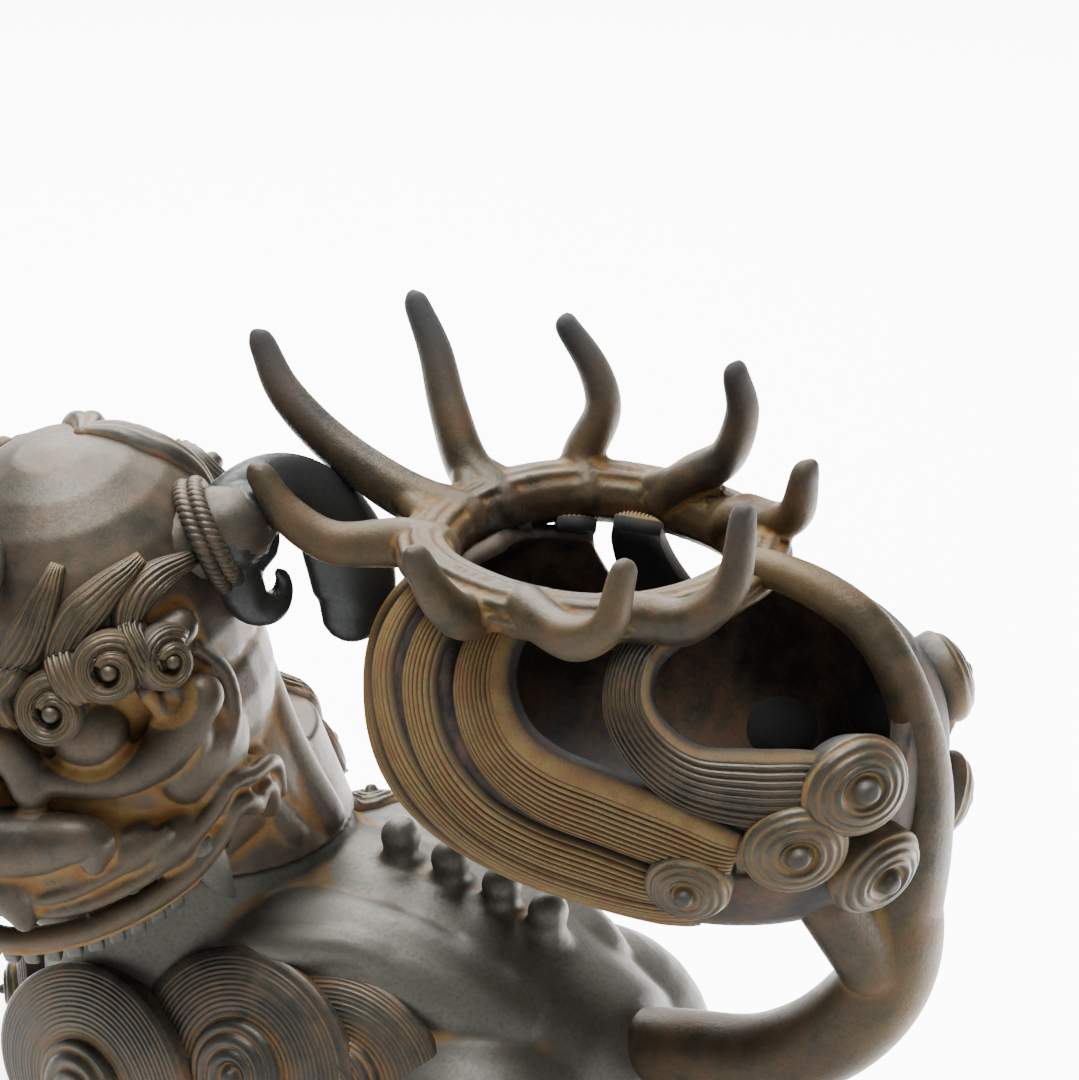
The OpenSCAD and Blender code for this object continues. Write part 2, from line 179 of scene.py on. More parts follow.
def limb(rows, flat=None, sides=20, step=2.0):
    """A round-ended stem through rows of [x, y, z, radius]. flat is [direction, ratio]: the section is that
    much thinner along the direction."""
    rows = np.asarray(rows, float)
    length = np.linalg.norm(np.diff(rows[:, :3], axis=0), axis=1).sum()
    run = flow(rows, max(8, int(length / step)))
    path, radius = run[:, :3], run[:, 3]
    ahead = unit_rows(np.gradient(path, axis=0))
    for end, sign in ((0, -1), (-1, 1)):
        cap = [(math.sin(a), math.cos(a)) for a in np.radians((30, 55, 75, 87))]
        extra = np.array([path[end] + sign * ahead[end] * radius[end] * s for s, _ in cap])
        small = np.array([radius[end] * c for _, c in cap])
        if end == 0:
            path, radius = np.vstack([extra[::-1], path]), np.concatenate([small[::-1], radius])
            ahead = np.vstack([np.repeat(ahead[:1], 4, 0), ahead])
        else:
            path, radius = np.vstack([path, extra]), np.concatenate([radius, small])
            ahead = np.vstack([ahead, np.repeat(ahead[-1:], 4, 0)])
    reference = np.array(flat[0], float) if flat else np.array([0.31, 0.17, 0.93])
    across = unit_rows(np.cross(ahead, reference))
    if not flat:
        for i in range(1, len(across)):
            side = across[i - 1] - ahead[i] * (across[i - 1] @ ahead[i])
            across[i] = side / np.linalg.norm(side)
    upward = np.cross(across, ahead)
    ratio = flat[1] if flat else 1.0
    turn = np.linspace(0, 2 * math.pi, sides, endpoint=False)
    rings = (path[:, None] + radius[:, None, None] * (across[:, None] * np.cos(turn)[None, :, None]
             + ratio * upward[:, None] * np.sin(turn)[None, :, None]))
    return closed_tube("limb", rings)


def closed_tube(name, rings):
    """A tube through rings of points, an array of ring by point by 3, closed at both ends."""
    count, sides = rings.shape[:2]
    faces = [(i * sides + j, i * sides + (j + 1) % sides,
              (i + 1) * sides + (j + 1) % sides, (i + 1) * sides + j)
             for i in range(count - 1) for j in range(sides)]
    faces.append(tuple(range(sides))[::-1])
    faces.append(tuple((count - 1) * sides + j for j in range(sides)))
    obj = mesh_from(name, rings.reshape(-1, 3), faces)
    face_out(obj)
    return obj


def face_out(obj):
    pick(obj)
    bpy.ops.object.mode_set(mode="EDIT")
    bpy.ops.mesh.select_all(action="SELECT")
    bpy.ops.mesh.normals_make_consistent(inside=False)
    bpy.ops.object.mode_set(mode="OBJECT")


def both(parts):
    """Adds a mirror copy, on the other side of the middle plane, of each part."""
    copies = []
    for part in parts:
        twin = part.copy()
        twin.data = part.data.copy()
        bpy.context.scene.collection.objects.link(twin)
        points = coords(twin)
        points[:, 1] *= -1
        move_points(twin, points)
        twin.data.flip_normals()
        copies.append(twin)
    return list(parts) + copies


def joined(name, parts):
    pick(*parts)
    if len(parts) > 1:
        bpy.ops.object.join()
    parts[0].name = name
    parts[0].data.name = name
    return parts[0]


def fused(name, parts, voxel, rounds=4):
    """Joins parts into one skin, as wax is worked together, and eases the joins."""
    obj = joined(name, parts)
    modify(obj, "REMESH", mode="VOXEL", voxel_size=voxel * 1.0)
    modify(obj, "SMOOTH", factor=0.5, iterations=rounds)
    return obj


def cut(obj, tools):
    for tool in tools:
        modify(obj, "BOOLEAN", operation="DIFFERENCE", solver="EXACT", object=tool)
        bpy.data.objects.remove(tool)
    return obj


def put(obj, place):
    """Moves a piece's points by a matrix."""
    obj.data.transform(place)
    if place.determinant() < 0:
        obj.data.flip_normals()
    obj.data.update()
    return obj


# ---------- surfaces that relief is laid on ----------

class Egg:
    """A rounded box: a superellipsoid."""

    def __init__(self, centre, radii, power=2.5):
        self.centre = np.array(centre, float)
        self.radii = np.array(radii, float)
        self.power = power

    def on(self, points):
        q = (points - self.centre) / self.radii
        size = (np.abs(q) ** self.power).sum(1) ** (1 / self.power)
        q = q / size[:, None]
        lean = np.sign(q) * np.abs(q) ** (self.power - 1) / self.radii
        return self.centre + q * self.radii, unit_rows(lean)


class Skin:
    """The surface of a mesh."""

    def __init__(self, obj):
        obj.data.calc_loop_triangles()
        soft = relaxed(obj, 6)
        faces = [tuple(t.vertices) for t in obj.data.loop_triangles]
        self.tree = BVHTree.FromPolygons([tuple(p) for p in soft], faces)

    def on(self, points):
        spots, lean = [], []
        for p in points:
            spot, normal, _, _ = self.tree.find_nearest(Vector(p))
            spots.append(tuple(spot))
            lean.append(tuple(normal))
        return np.array(spots), np.array(lean)


def ridge_shape(phase):
    """Round ridges with narrow grooves between them: 1 on a ridge's crown, 0 in a groove."""
    return np.abs(np.sin(math.pi * phase)) ** 0.55


def lock(name, surface, rows, ridges, crown=1.6, groove=0.7, thick=4.0, rims=(0.0, 0.0), fade=0.12,
         lift=0.0, step=0.9, worn=True):
    """A strip of wax-cut hair laid along a surface. Each row is [x, y, z, width]. rims says how much of the
    width at the left and right edges stays plain, seen along the run with the surface below. worn locks are
    dark on their ridges and ochre in the grooves, the others ochre with painted shade in their grooves.
    Both get painted shade along their edges and underneath."""
    rows = np.asarray(rows, float)
    length = np.linalg.norm(np.diff(rows[:, :3], axis=0), axis=1).sum()
    run = flow(rows, max(12, int(length / (step * 1))))
    spine, lean = surface.on(run[:, :3])
    for _ in range(3):
        lean[1:-1] = unit_rows(lean[:-2] + 2 * lean[1:-1] + lean[2:])
    ahead = unit_rows(np.gradient(spine, axis=0))
    across = unit_rows(np.cross(lean, ahead))
    per_ridge = 8
    u = np.linspace(-1, 1, max(9, ridges * per_ridge + 1))
    t = np.linspace(0, 1, len(spine))
    ease = np.clip(np.minimum(t, 1 - t) / max(fade, 1e-6), 0, 1) ** 0.5
    spread = spine[:, None] + across[:, None] * (u[None, :, None] * run[:, 3, None, None] / 2)
    flat_points, flat_lean = surface.on(spread.reshape(-1, 3))
    flat_points = flat_points.reshape(spread.shape)
    flat_lean = flat_lean.reshape(spread.shape)
    cut_u = (u + 1) / 2
    plain = (cut_u < rims[0]) | (cut_u > 1 - rims[1])
    body_u = np.clip((cut_u - rims[0]) / max(1 - rims[0] - rims[1], 1e-6), 0, 1)
    ridge = np.where(plain, 0.85, ridge_shape(body_u * ridges))
    arch = 1 - np.abs(u) ** 3.2
    height = lift + ease[:, None] * (crown * arch[None] + groove * (ridge[None] - 1)) - 0.3 * (1 - arch[None])
    top = flat_points + flat_lean * height[:, :, None]
    under_u = np.array([len(u) - 1, (3 * len(u)) // 4, len(u) // 2, len(u) // 4, 0])
    under = (flat_points - flat_lean * thick)[:, under_u]
    rings = np.concatenate([top, under], 1)
    obj = closed_tube(name, rings)
    if worn:
        edge = 0.6 * np.abs(u) ** 6
        on_top = 0.9 * np.where(plain, 0.55, 1 - ridge) + edge + 0.5 * (1 - ease[:, None])
        lines = np.zeros(len(u))
    else:
        on_top = np.tile(np.where(plain, 0.9, 0.5 + 0.35 * ridge), (len(spine), 1))
        lines = np.where(plain, 0.0, np.clip(1.7 - 2.0 * ridge, 0, 1))
    below = (len(spine), len(under_u))
    write_recess(obj, np.concatenate([on_top, np.full(below, 0.75)], 1))
    # Painted shade: near black along the lock's edges, in its grooves where lines is set, and all over its
    # underside.
    shade_and_dark_mask = np.tile(np.maximum(0.9 * np.abs(u) ** 7, lines), (len(spine), 1))
    write_shade_and_darkening(obj, np.concatenate([shade_and_dark_mask, np.ones(below)], 1))
    return obj


def curl(name, surface, centre, radius, lines, dome=2.5, groove=0.7, eye=0.26, hand=1, start=0.0,
         reference=(1, 0, 0), stretch=1.0, skirt=3.0, lift=0.0, rim=0.0, flat=2.6):
    """A spiral boss. lines is how many turns of the groove fit between the eye and the edge. skirt is how
    deep its side goes under the surface, rim the share of the radius that stays plain at the edge."""
    spot, lean = surface.on(np.array([centre], float))
    spot, lean = spot[0], lean[0]
    e1 = np.array(reference, float)
    e1 = e1 - lean * (e1 @ lean)
    e1 /= np.linalg.norm(e1)
    e2 = np.cross(lean, e1)
    spokes = max(48, int(radius * (4)))
    rings = max(16, int((lines + 2) * (6)))
    phi = np.linspace(0, 2 * math.pi, spokes, endpoint=False)
    r = np.linspace(0, 1, rings + 1)[1:]
    rr, pp = np.meshgrid(r, phi, indexing="ij")
    spoke = e1 * np.cos(pp)[..., None] * stretch + e2 * np.sin(pp)[..., None]
    base = spot + radius * rr[..., None] * spoke
    flat_points, flat_lean = surface.on(base.reshape(-1, 3))
    flat_points = flat_points.reshape(base.shape)
    flat_lean = flat_lean.reshape(base.shape)
    phase = (rr - eye) / (1 - eye - rim) * lines - hand * (pp - start) / (2 * math.pi)
    outer = np.clip((rr - eye * 0.75) / (eye * 0.4), 0, 1)
    ridge = np.where(rr > 1 - rim, 1.0, ridge_shape(phase) * outer + (1 - outer))
    bowl = np.sqrt(np.clip(1 - rr ** flat, 0, 1))
    bead = min(0.45 * dome, 1.5)
    moat = np.exp(-((rr - eye) / (0.3 * eye)) ** 2)
    boss = np.exp(-(rr / (eye * 0.8)) ** 4) * bead - moat * 0.25 * dome
    height = lift + dome * bowl + groove * (ridge - 1) * (bowl > 0.05) + boss
    height[-1] = -skirt
    height[-2] = np.minimum(height[-2], -0.2 * skirt)
    points = flat_points + flat_lean * height[..., None]
    tip = spot + lean * (lift + dome + bead)
    verts = np.vstack([tip[None], points.reshape(-1, 3), (spot - lean * skirt * 1.2)[None]])
    faces = [(0, 1 + j, 1 + (j + 1) % spokes) for j in range(spokes)]
    faces += [(1 + i * spokes + j, 1 + (i + 1) * spokes + j,
               1 + (i + 1) * spokes + (j + 1) % spokes, 1 + i * spokes + (j + 1) % spokes)
              for i in range(rings - 1) for j in range(spokes)]
    last = 1 + (rings - 1) * spokes
    faces += [(len(verts) - 1, last + (j + 1) % spokes, last + j) for j in range(spokes)]
    obj = mesh_from(name, verts, faces)
    face_out(obj)
    mark = np.clip((1 - ridge) * 0.95 + moat * 0.5 + rr ** 10 * 0.6, 0, 1)
    write_recess(obj, np.concatenate([[0.0], mark.ravel(), [1.0]]))
    # Painted shade where the boss's rim meets the surface and on its underside, and a plain darkening in its
    # middle.
    shade_and_dark_mask = np.where(rr > 0.985, 1.0, 0.55 * np.exp(-(rr / (0.8 * eye)) ** 4))
    shade_and_dark_mask[-2:] = 1.0
    write_shade_and_darkening(obj, np.concatenate([[0.6], shade_and_dark_mask.ravel(), [1.0]]))
    return obj


# ---------- finishes ----------

def node_of(tree, kind, **values):
    node = tree.nodes.new(kind)
    for key, value in values.items():
        setattr(node, key, value)
    return node


def mixed(tree, factor, a, b):
    node = node_of(tree, "ShaderNodeMix", data_type="RGBA", blend_type="MIX")
    for socket, value in ((node.inputs["Factor"], factor), (node.inputs[6], a), (node.inputs[7], b)):
        if isinstance(value, bpy.types.NodeSocket):
            tree.links.new(value, socket)
        else:
            socket.default_value = value if np.isscalar(value) else (*value, 1.0)[:4]
    return node.outputs[2]


def math_of(tree, operation, a, b):
    node = node_of(tree, "ShaderNodeMath", operation=operation)
    for socket, value in ((node.inputs[0], a), (node.inputs[1], b)):
        if isinstance(value, bpy.types.NodeSocket):
            tree.links.new(value, socket)
        else:
            socket.default_value = value
    return node.outputs[0]


def ramp_of(tree, value, low, high):
    node = node_of(tree, "ShaderNodeMapRange", interpolation_type="SMOOTHSTEP")
    node.inputs["From Min"].default_value = low
    node.inputs["From Max"].default_value = high
    tree.links.new(value, node.inputs["Value"])
    return node.outputs["Result"]


def noise_of(tree, where, scale, detail=4.0, rough=0.6):
    node = node_of(tree, "ShaderNodeTexNoise")
    node.inputs["Scale"].default_value = scale
    node.inputs["Detail"].default_value = detail
    node.inputs["Roughness"].default_value = rough
    tree.links.new(where, node.inputs["Vector"])
    return node.outputs["Fac"]


def patina(name, dark, cool, ochre, rust, deposit, veil=0.25, shine=0.36, grain=1.0):
    """Old bronze: dark on what hands touch, cooler here and there, ochre and rust in what they don't.
    deposit moves the edge of the ochre: 0 keeps it in the deepest grooves, 1 lets it nearly cover."""
    material = bpy.data.materials.new(name)
    material.use_nodes = True
    tree = material.node_tree
    tree.nodes.clear()
    out = node_of(tree, "ShaderNodeOutputMaterial")
    shader = node_of(tree, "ShaderNodeBsdfPrincipled")
    tree.links.new(shader.outputs[0], out.inputs[0])
    where = node_of(tree, "ShaderNodeTexCoord").outputs["Object"]
    recess = node_of(tree, "ShaderNodeAttribute", attribute_name="recess").outputs["Fac"]
    broad = noise_of(tree, where, 32.0, 3.0)
    middle = noise_of(tree, where, 130.0, 5.0, 0.65)
    fine = noise_of(tree, where, 900.0, 6.0, 0.7)
    speck = noise_of(tree, where, 2600.0, 3.0, 0.8)
    half_broad = math_of(tree, "MULTIPLY", broad, 0.5)
    blotch = math_of(tree, "ADD", half_broad, math_of(tree, "MULTIPLY", middle, 0.5))
    base = mixed(tree, ramp_of(tree, blotch, 0.3, 0.7), dark, cool)
    base = mixed(tree, ramp_of(tree, fine, 0.4, 0.85), base, tuple(0.62 * c for c in dark))
    dust = mixed(tree, ramp_of(tree, middle, 0.42, 0.62), ochre, rust)
    dust = mixed(tree, ramp_of(tree, speck, 0.45, 0.75), dust, tuple(0.45 * c for c in ochre))
    uneven = math_of(tree, "MULTIPLY", math_of(tree, "SUBTRACT", blotch, 0.5), 1.6)
    grainy = math_of(tree, "SUBTRACT", fine, 0.5)
    push = math_of(tree, "ADD", recess, uneven)
    push = math_of(tree, "ADD", push, math_of(tree, "MULTIPLY", grainy, 0.7))
    cover = ramp_of(tree, push, 0.62 - 0.7 * deposit, 1.25 - 0.6 * deposit)
    thin = math_of(tree, "MULTIPLY", ramp_of(tree, blotch, 0.3, 0.75), veil)
    cover = math_of(tree, "MAXIMUM", cover, thin)
    # A second attribute pulls the colour towards near black: painted shade in crevices, grooves and
    # undersides, and plain darkening on flame tips and curl middles.
    shade_and_darkening = node_of(tree, "ShaderNodeAttribute", attribute_name="shade_and_darkening").outputs["Fac"]
    colour = mixed(tree, shade_and_darkening, mixed(tree, cover, base, dust), SHADE_AND_DARK)
    tree.links.new(colour, shader.inputs["Base Color"])
    rough = math_of(tree, "ADD", math_of(tree, "MULTIPLY", cover, 0.3), shine)
    rough = math_of(tree, "ADD", rough, math_of(tree, "MULTIPLY", shade_and_darkening, 0.35))
    rough = math_of(tree, "ADD", rough, math_of(tree, "MULTIPLY", grainy, 0.3))
    tree.links.new(rough, shader.inputs["Roughness"])
    metal = math_of(tree, "MULTIPLY", math_of(tree, "SUBTRACT", 1.0, cover), 0.62)
    metal = math_of(tree, "MULTIPLY", metal, math_of(tree, "SUBTRACT", 1.0, shade_and_darkening))
    tree.links.new(metal, shader.inputs["Metallic"])
    bump = node_of(tree, "ShaderNodeBump")
    bump.inputs["Strength"].default_value = 0.35 * grain
    bump.inputs["Distance"].default_value = 0.0003
    pits = math_of(tree, "MULTIPLY", fine, 0.7)
    relief = math_of(tree, "ADD", pits, math_of(tree, "MULTIPLY", middle, 0.6))
    tree.links.new(relief, bump.inputs["Height"])
    tree.links.new(bump.outputs[0], shader.inputs["Normal"])
    return material


OCHRE = (0.185, 0.113, 0.030)
RUST = (0.160, 0.074, 0.020)
# Near black, for painted shade and for plain darkening.
SHADE_AND_DARK = (0.02, 0.02, 0.021)
skin_bronze = patina("skin bronze", (0.085, 0.082, 0.070), (0.088, 0.100, 0.090), OCHRE, RUST, 0.08,
                     veil=0.18, shine=0.5)
groove_bronze = patina("wax-cut bronze", (0.040, 0.039, 0.032), (0.050, 0.057, 0.052), (0.195, 0.124, 0.036),
                       (0.165, 0.082, 0.022), 0.68, veil=0.45)
mane_bronze = patina("mane bronze", (0.038, 0.037, 0.033), (0.046, 0.054, 0.050), (0.185, 0.116, 0.034),
                     (0.175, 0.074, 0.022), 0.58, veil=0.32)
face_bronze = patina("face bronze", (0.044, 0.041, 0.035), (0.054, 0.058, 0.051), (0.200, 0.118, 0.030),
                     (0.185, 0.078, 0.017), 0.60, veil=0.45, shine=0.42)
crown_bronze = patina("crown bronze", (0.032, 0.029, 0.022), (0.036, 0.038, 0.030), (0.165, 0.098, 0.020),
                      (0.135, 0.058, 0.013), 0.66, veil=0.75, shine=0.42, grain=1.8)
ear_bronze = patina("ear bronze", (0.036, 0.038, 0.037), (0.046, 0.053, 0.052), OCHRE, RUST, 0.02,
                    veil=0.03)
plain_bronze = patina("turned bronze", (0.10, 0.07, 0.045), (0.12, 0.085, 0.055), OCHRE, RUST, 0.1,
                      veil=0.1)
# A near-black bronze for the insides of hollows: painted shade.
shade_bronze = patina("painted shade bronze", SHADE_AND_DARK, (0.032, 0.034, 0.036), (0.10, 0.07, 0.035),
                     (0.12, 0.06, 0.03), 0.1, veil=0.08, shine=0.6)
copper = patina("liner copper", (0.16, 0.075, 0.045), (0.12, 0.06, 0.04), (0.18, 0.15, 0.12),
                (0.12, 0.10, 0.08), 0.3)


def finished(obj, material, body, replaces=None):
    """Gives a piece its finish, puts it into the frame and ties it to a body."""
    obj.data.materials.clear()
    obj.data.materials.append(material)
    put(obj, TO_FRAME)
    pick(obj)
    bpy.ops.object.shade_smooth()
    if "recess" not in obj.data.attributes:
        write_recess(obj, np.full(len(obj.data.vertices), 0.3))
    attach(obj, body)
    if replaces:
        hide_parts(replaces)


# ---------- tail ----------

CROWN = np.array([15.0, 0.0, 264.0])
CROWN_R = 33.0
RIM_STEPS = 72
PLUME_TOP = 266.0
plume = Egg((32, 0, 222.5), (73, 45, 43.5))

# The flames of the crown: the direction of each root, in degrees, and the way to its tip.
FLAMES = [
    (177, [(-39, -1, 267), (-57, -2, 276), (-71, -2, 287), (-79, 0, 298)]),
    (157, [(-31, 18, 269), (-39, 22, 282), (-45, 26, 294), (-52, 29, 304)]),
    (122, [(-9, 37, 269), (-5, 40, 281), (-8, 41, 291), (-15, 40, 301)]),
    (92, [(21, 37, 269), (31, 37, 277), (35, 37, 289), (34, 35, 299)]),
    (57, [(41, 26, 267), (51, 22, 269), (59, 18, 275), (62, 16, 286)]),
    (207, [(-28, -18, 262), (-43, -24, 261), (-54, -27, 267), (-61, -28, 276)]),
    (255, [(7, -42, 261), (8, -51, 264), (6, -57, 271), (3, -60, 280)]),
    (272, [(22, -42, 264), (36, -49, 264), (47, -52, 270), (50, -50, 283)]),
    (306, [(47, -31, 264), (58, -33, 267), (67, -31, 277), (69, -30, 293)]),
]


def on_rim(angle, reach, height):
    """A point of the crown's rim, which waves a little as it goes round."""
    return CROWN + (reach * math.cos(angle), reach * math.sin(angle), height + 0.8 * math.sin(3 * angle + 1))


def make_crown():
    turn = np.linspace(0, 2 * math.pi, RIM_STEPS, endpoint=False)
    section = [(33, -7), (36, -10), (41, -8), (45, -2), (46, 1.5), (42, 3.2), (36, 2.6), (33.3, 1.0),
               (32.6, -2.5)]
    rings = np.array([[on_rim(a, rho, z) for rho, z in section] for a in turn])
    sides = len(section)
    faces = [(i * sides + j, i * sides + (j + 1) % sides,
              ((i + 1) % RIM_STEPS) * sides + (j + 1) % sides, ((i + 1) % RIM_STEPS) * sides + j)
             for i in range(RIM_STEPS) for j in range(sides)]
    ring = mesh_from("crown", rings.reshape(-1, 3), faces)
    face_out(ring)
    parts = [ring]
    for angle, way in FLAMES:
        a = math.radians(angle)
        root = CROWN + np.array([(CROWN_R + 5) * math.cos(a), (CROWN_R + 5) * math.sin(a), -2.0])
        rows = [[*root, 6.6]] + [[*p, r] for p, r in zip(way, (6.2, 5.4, 4.7, 3.6))]
        parts.append(limb(rows, flat=[(-math.sin(a), math.cos(a), 0.15), 0.86], sides=24, step=1.2))
        ridge = [[*(np.array(row[:3]) + (1.5 * math.cos(a), 1.5 * math.sin(a), 1.5)), 0.86 * row[3] - 1.0]
                 for row in rows]
        parts.append(limb(ridge, sides=16, step=1.2))
        for side in (-1, 1):
            lean = a + side * 0.22
            foot = CROWN + np.array([(CROWN_R + 6) * math.cos(lean), (CROWN_R + 6) * math.sin(lean), -2.5])
            knee = 0.55 * foot + 0.45 * np.array(way[0])
            parts.append(limb([[*foot, 4.2], [*knee, 4.4], [*way[0], 4.4]]))
    for rho, z in ((36.5, 2.9), (39.5, 3.5), (42.5, 3.3), (45.5, 1.6), (46.0, -1.8)):
        loop = [[*on_rim(a, rho, z), 1.35] for a in turn]
        parts.append(limb(loop + loop[:1], sides=10, step=1.5))
    crown = fused("crown", parts, 0.7, rounds=4)
    recess_from_shape(crown, 16, 0.30)
    # Darker towards the tops of the flames.
    write_shade_and_darkening(crown, (coords(crown)[:, 2] - 276) / 26)
    return crown


def make_stem():
    stem = [[24, 0, 128.4, 10.5], [43, 0, 133, 10.4], [56, 0, 135.5, 10.5], [66, 0, 139, 10.8],
            [78, 0, 146.5, 11.4], [88, 0, 157, 11.6], [95, 0, 169, 11.2], [97.5, 0, 182, 11],
            [96, 0, 196, 10.5], [93, 0, 207, 9]]
    band = [[54, 0, 268, 4.2], [64, 0, 267.5, 4.6], [75, 0, 265, 5.0], [86, 0, 259.5, 5.2], [94, 0, 250, 5.4],
            [99.5, 0, 237, 6.0], [101.5, 0, 222, 7.6], [100, 0, 206, 9.5], [97.5, 0, 190, 10.5]]
    parts = [limb(stem, sides=32), limb(band, flat=[(0, 1, 0), 1.0], sides=24)]
    for side in (-1, 1):
        parts.append(limb([[86, side * 15, 196, 8.5], [94, side * 4.5, 176, 9.5]]))
    return fused("tail_stem", parts, 0.8, rounds=8)


def wall_top(longitude):
    """Height of the closed wall under the windows, by longitude from the stem, in degrees."""
    if longitude > 0:
        turns = [0, 12, 60, 84, 92, 112, 124, 180]
        tops = [246, 250, 254, 252, 236, 234, 254, 260]
    else:
        turns = [0, 12, 25, 60, 92, 108, 122, 180]
        tops = [246, 232, 214, 208, 212, 226, 252, 260]
    return float(np.interp(abs(longitude), turns, tops))


def signed_power(value, power):
    return np.sign(value) * abs(value) ** power


def make_bowl():
    """The thin wall of the plume behind its locks, closed below and open to the crown above."""
    around, rings = 144, 40
    round_off = 2 / plume.power
    inner, outer = [], []
    for i in range(around):
        a = 360 * i / around - 180
        top = wall_top(a)
        for j in range(rings + 1):
            height = (top - plume.centre[2]) / plume.radii[2]
            b_top = math.degrees(math.asin(np.sign(height) * min(abs(height), 0.999) ** (1 / round_off)))
            b = -90 + (b_top + 90) * (j + 0.6) / (rings + 0.6)
            ca, sa, cb, sb = (f(math.radians(v)) for v in (a, b) for f in (math.cos, math.sin))
            level = abs(cb) ** round_off
            q = np.array([level * signed_power(ca, round_off), level * signed_power(sa, round_off),
                          signed_power(sb, round_off)])
            outer.append(plume.centre + 0.985 * q * plume.radii)
            inner.append(plume.centre + 0.915 * q * plume.radii)
    rows = rings + 1
    faces = []
    half = around * rows
    for i in range(around):
        n = (i + 1) % around
        for j in range(rings):
            faces.append((i * rows + j, n * rows + j, n * rows + j + 1, i * rows + j + 1))
            faces.append((half + i * rows + j, half + i * rows + j + 1,
                          half + n * rows + j + 1, half + n * rows + j))
        faces.append((i * rows + rings, n * rows + rings, half + n * rows + rings, half + i * rows + rings))
    faces.append(tuple(i * rows for i in range(around))[::-1])
    faces.append(tuple(half + i * rows for i in range(around)))
    bowl = mesh_from("plume_bowl", np.array(outer + inner), faces)
    face_out(bowl)
    return bowl


# Locks of the plume, from the crown down round the side to the knots, on the left side and again on the
# right. Each has its name, its rows of [x, z, width], its ridges, plain rims, crown and lift. The rows'
# heights are those of a plume a little deeper than this one, drawn in towards its top by LOCK_DRAW.
LOCK_DRAW = 0.926
LOCKS = [
    ("upper", [[50, 262, 11], [45, 255, 11], [46, 245, 12], [53, 236, 13.5], [64, 230, 16], [78, 229, 19],
               [90, 229, 18], [98, 224, 12]], 9, (0.0, 0.14), 2.2, 0.9),
    ("middle", [[12, 259, 12], [8, 250, 14], [9, 238, 16.5], [16, 226, 18.5], [28, 219.5, 19], [44, 217, 19],
                [60, 214, 18], [74, 210, 14]], 10, (0.0, 0.24), 2.4, 1.1),
    ("third", [[-4, 257, 10], [-10, 246, 11], [-10, 232, 12], [-4, 217, 12.5], [8, 206, 13], [24, 201, 13],
               [42, 199, 13], [58, 197, 11]], 8, (0.0, 0.0), 1.7, 0.6),
    ("fourth", [[-16, 257, 9], [-24, 245, 10], [-25, 230, 10.5], [-19, 214, 11], [-8, 202, 12], [6, 193, 12],
                [24, 188, 12], [44, 187, 11], [62, 189, 9]], 7, (0.0, 0.0), 1.3, 0.3),
    ("outer", [[-24, 256, 8], [-34, 243, 8.5], [-37, 228, 8.5], [-31, 209, 9], [-19, 192, 10], [-4, 182, 11],
               [16, 178, 11], [38, 178, 10], [58, 181, 8]], 6, (0.0, 0.0), 1.0, 0.0),
]


def on_left_side(x, z):
    """The point of the plume's left side at a given length and height."""
    q = np.array([abs(x - plume.centre[0]) / plume.radii[0], abs(z - plume.centre[2]) / plume.radii[2]])
    rest = max(1 - (q ** plume.power).sum(), 0.0)
    return [x, -plume.radii[1] * rest ** (1 / plume.power), z]


def make_locks():
    parts = []
    for name, rows, ridges, rims, crown, lift in LOCKS:
        path = [[*on_left_side(x, PLUME_TOP - LOCK_DRAW * (PLUME_TOP - z)), w] for x, z, w in rows]
        parts.append(lock("lock_" + name, plume, path, ridges, crown=crown, groove=1.3, rims=rims, lift=lift,
                          thick=2.8, fade=0.06, worn=name == "upper"))
    return parts


# Knots at the root of the plume: place, radius, rings of line, height of the dome, and which way it winds.
KNOTS = [((99.5, -27, 233), 11.5, 4, 6.5, 1), ((84.3, -33, 219), 11, 4, 6.0, -1),
         ((97.9, -20, 210.5), 10.5, 4, 6.0, -1), ((59.7, -36, 208), 9.5, 4, 5.0, -1)]
KNOT_SETBACK = 14


def make_knots(setback):
    """The knots of the left side, moved forward along the plume by setback."""
    parts = []
    for k, ((x, y, z), radius, lines, dome, hand) in enumerate(KNOTS):
        parts.append(curl("knot", plume, (x - setback, y, z), radius, lines, dome=dome, groove=0.8,
                          hand=hand, start=0.7 * k, lift=1.2, skirt=4.0, reference=(1, 0, 0.4), stretch=1.15))
    return parts


def mirrored(parts):
    return both(parts)[len(parts):]


crown = make_crown()
stem = make_stem()
recess_from_shape(stem)
bowl = make_bowl()
write_recess(bowl, np.full(len(bowl.data.vertices), 0.8))
left_locks = make_locks()
left_knots = make_knots(0)
right_locks = mirrored(left_locks)
spare_knots = make_knots(KNOT_SETBACK)
right_knots = mirrored(spare_knots)
for spare in spare_knots:
    bpy.data.objects.remove(spare)
finished(crown, crown_bronze, BODY, "tail_casting")
finished(stem, crown_bronze, BODY)
# The plume's inner wall is painted near black: painted shade inside the plume.
finished(bowl, shade_bronze, BODY)
finished(joined("plume_locks_left", left_locks), groove_bronze, BODY)
finished(joined("plume_locks_right", right_locks), groove_bronze, BODY)
finished(joined("plume_knots_left", left_knots), groove_bronze, BODY)
finished(joined("plume_knots_right", right_knots), groove_bronze, BODY)


# ---------- body ----------

class Plane:
    """A flat place for a boss to stand on."""

    def __init__(self, point, normal):
        self.point = np.array(point, float)
        self.normal = np.array(normal, float) / np.linalg.norm(normal)

    def on(self, points):
        gap = (points - self.point) @ self.normal
        return points - gap[:, None] * self.normal, np.repeat(self.normal[None], len(points), 0)


def front_leg(y, stride):
    parts = [limb([[-98, 0.78 * y, 102, 21], [-99 + stride / 2, y, 68, 17.5], [-105 + stride, y, 38, 12.3],
                   [-104 + stride, y, 16, 12.4]], sides=28)]
    parts.append(limb([[-90 + stride, y, 50, 6], [-89 + stride, y, 38, 5], [-93 + stride, y, 26, 5]]))
    return parts + paw(-112 + stride, y)


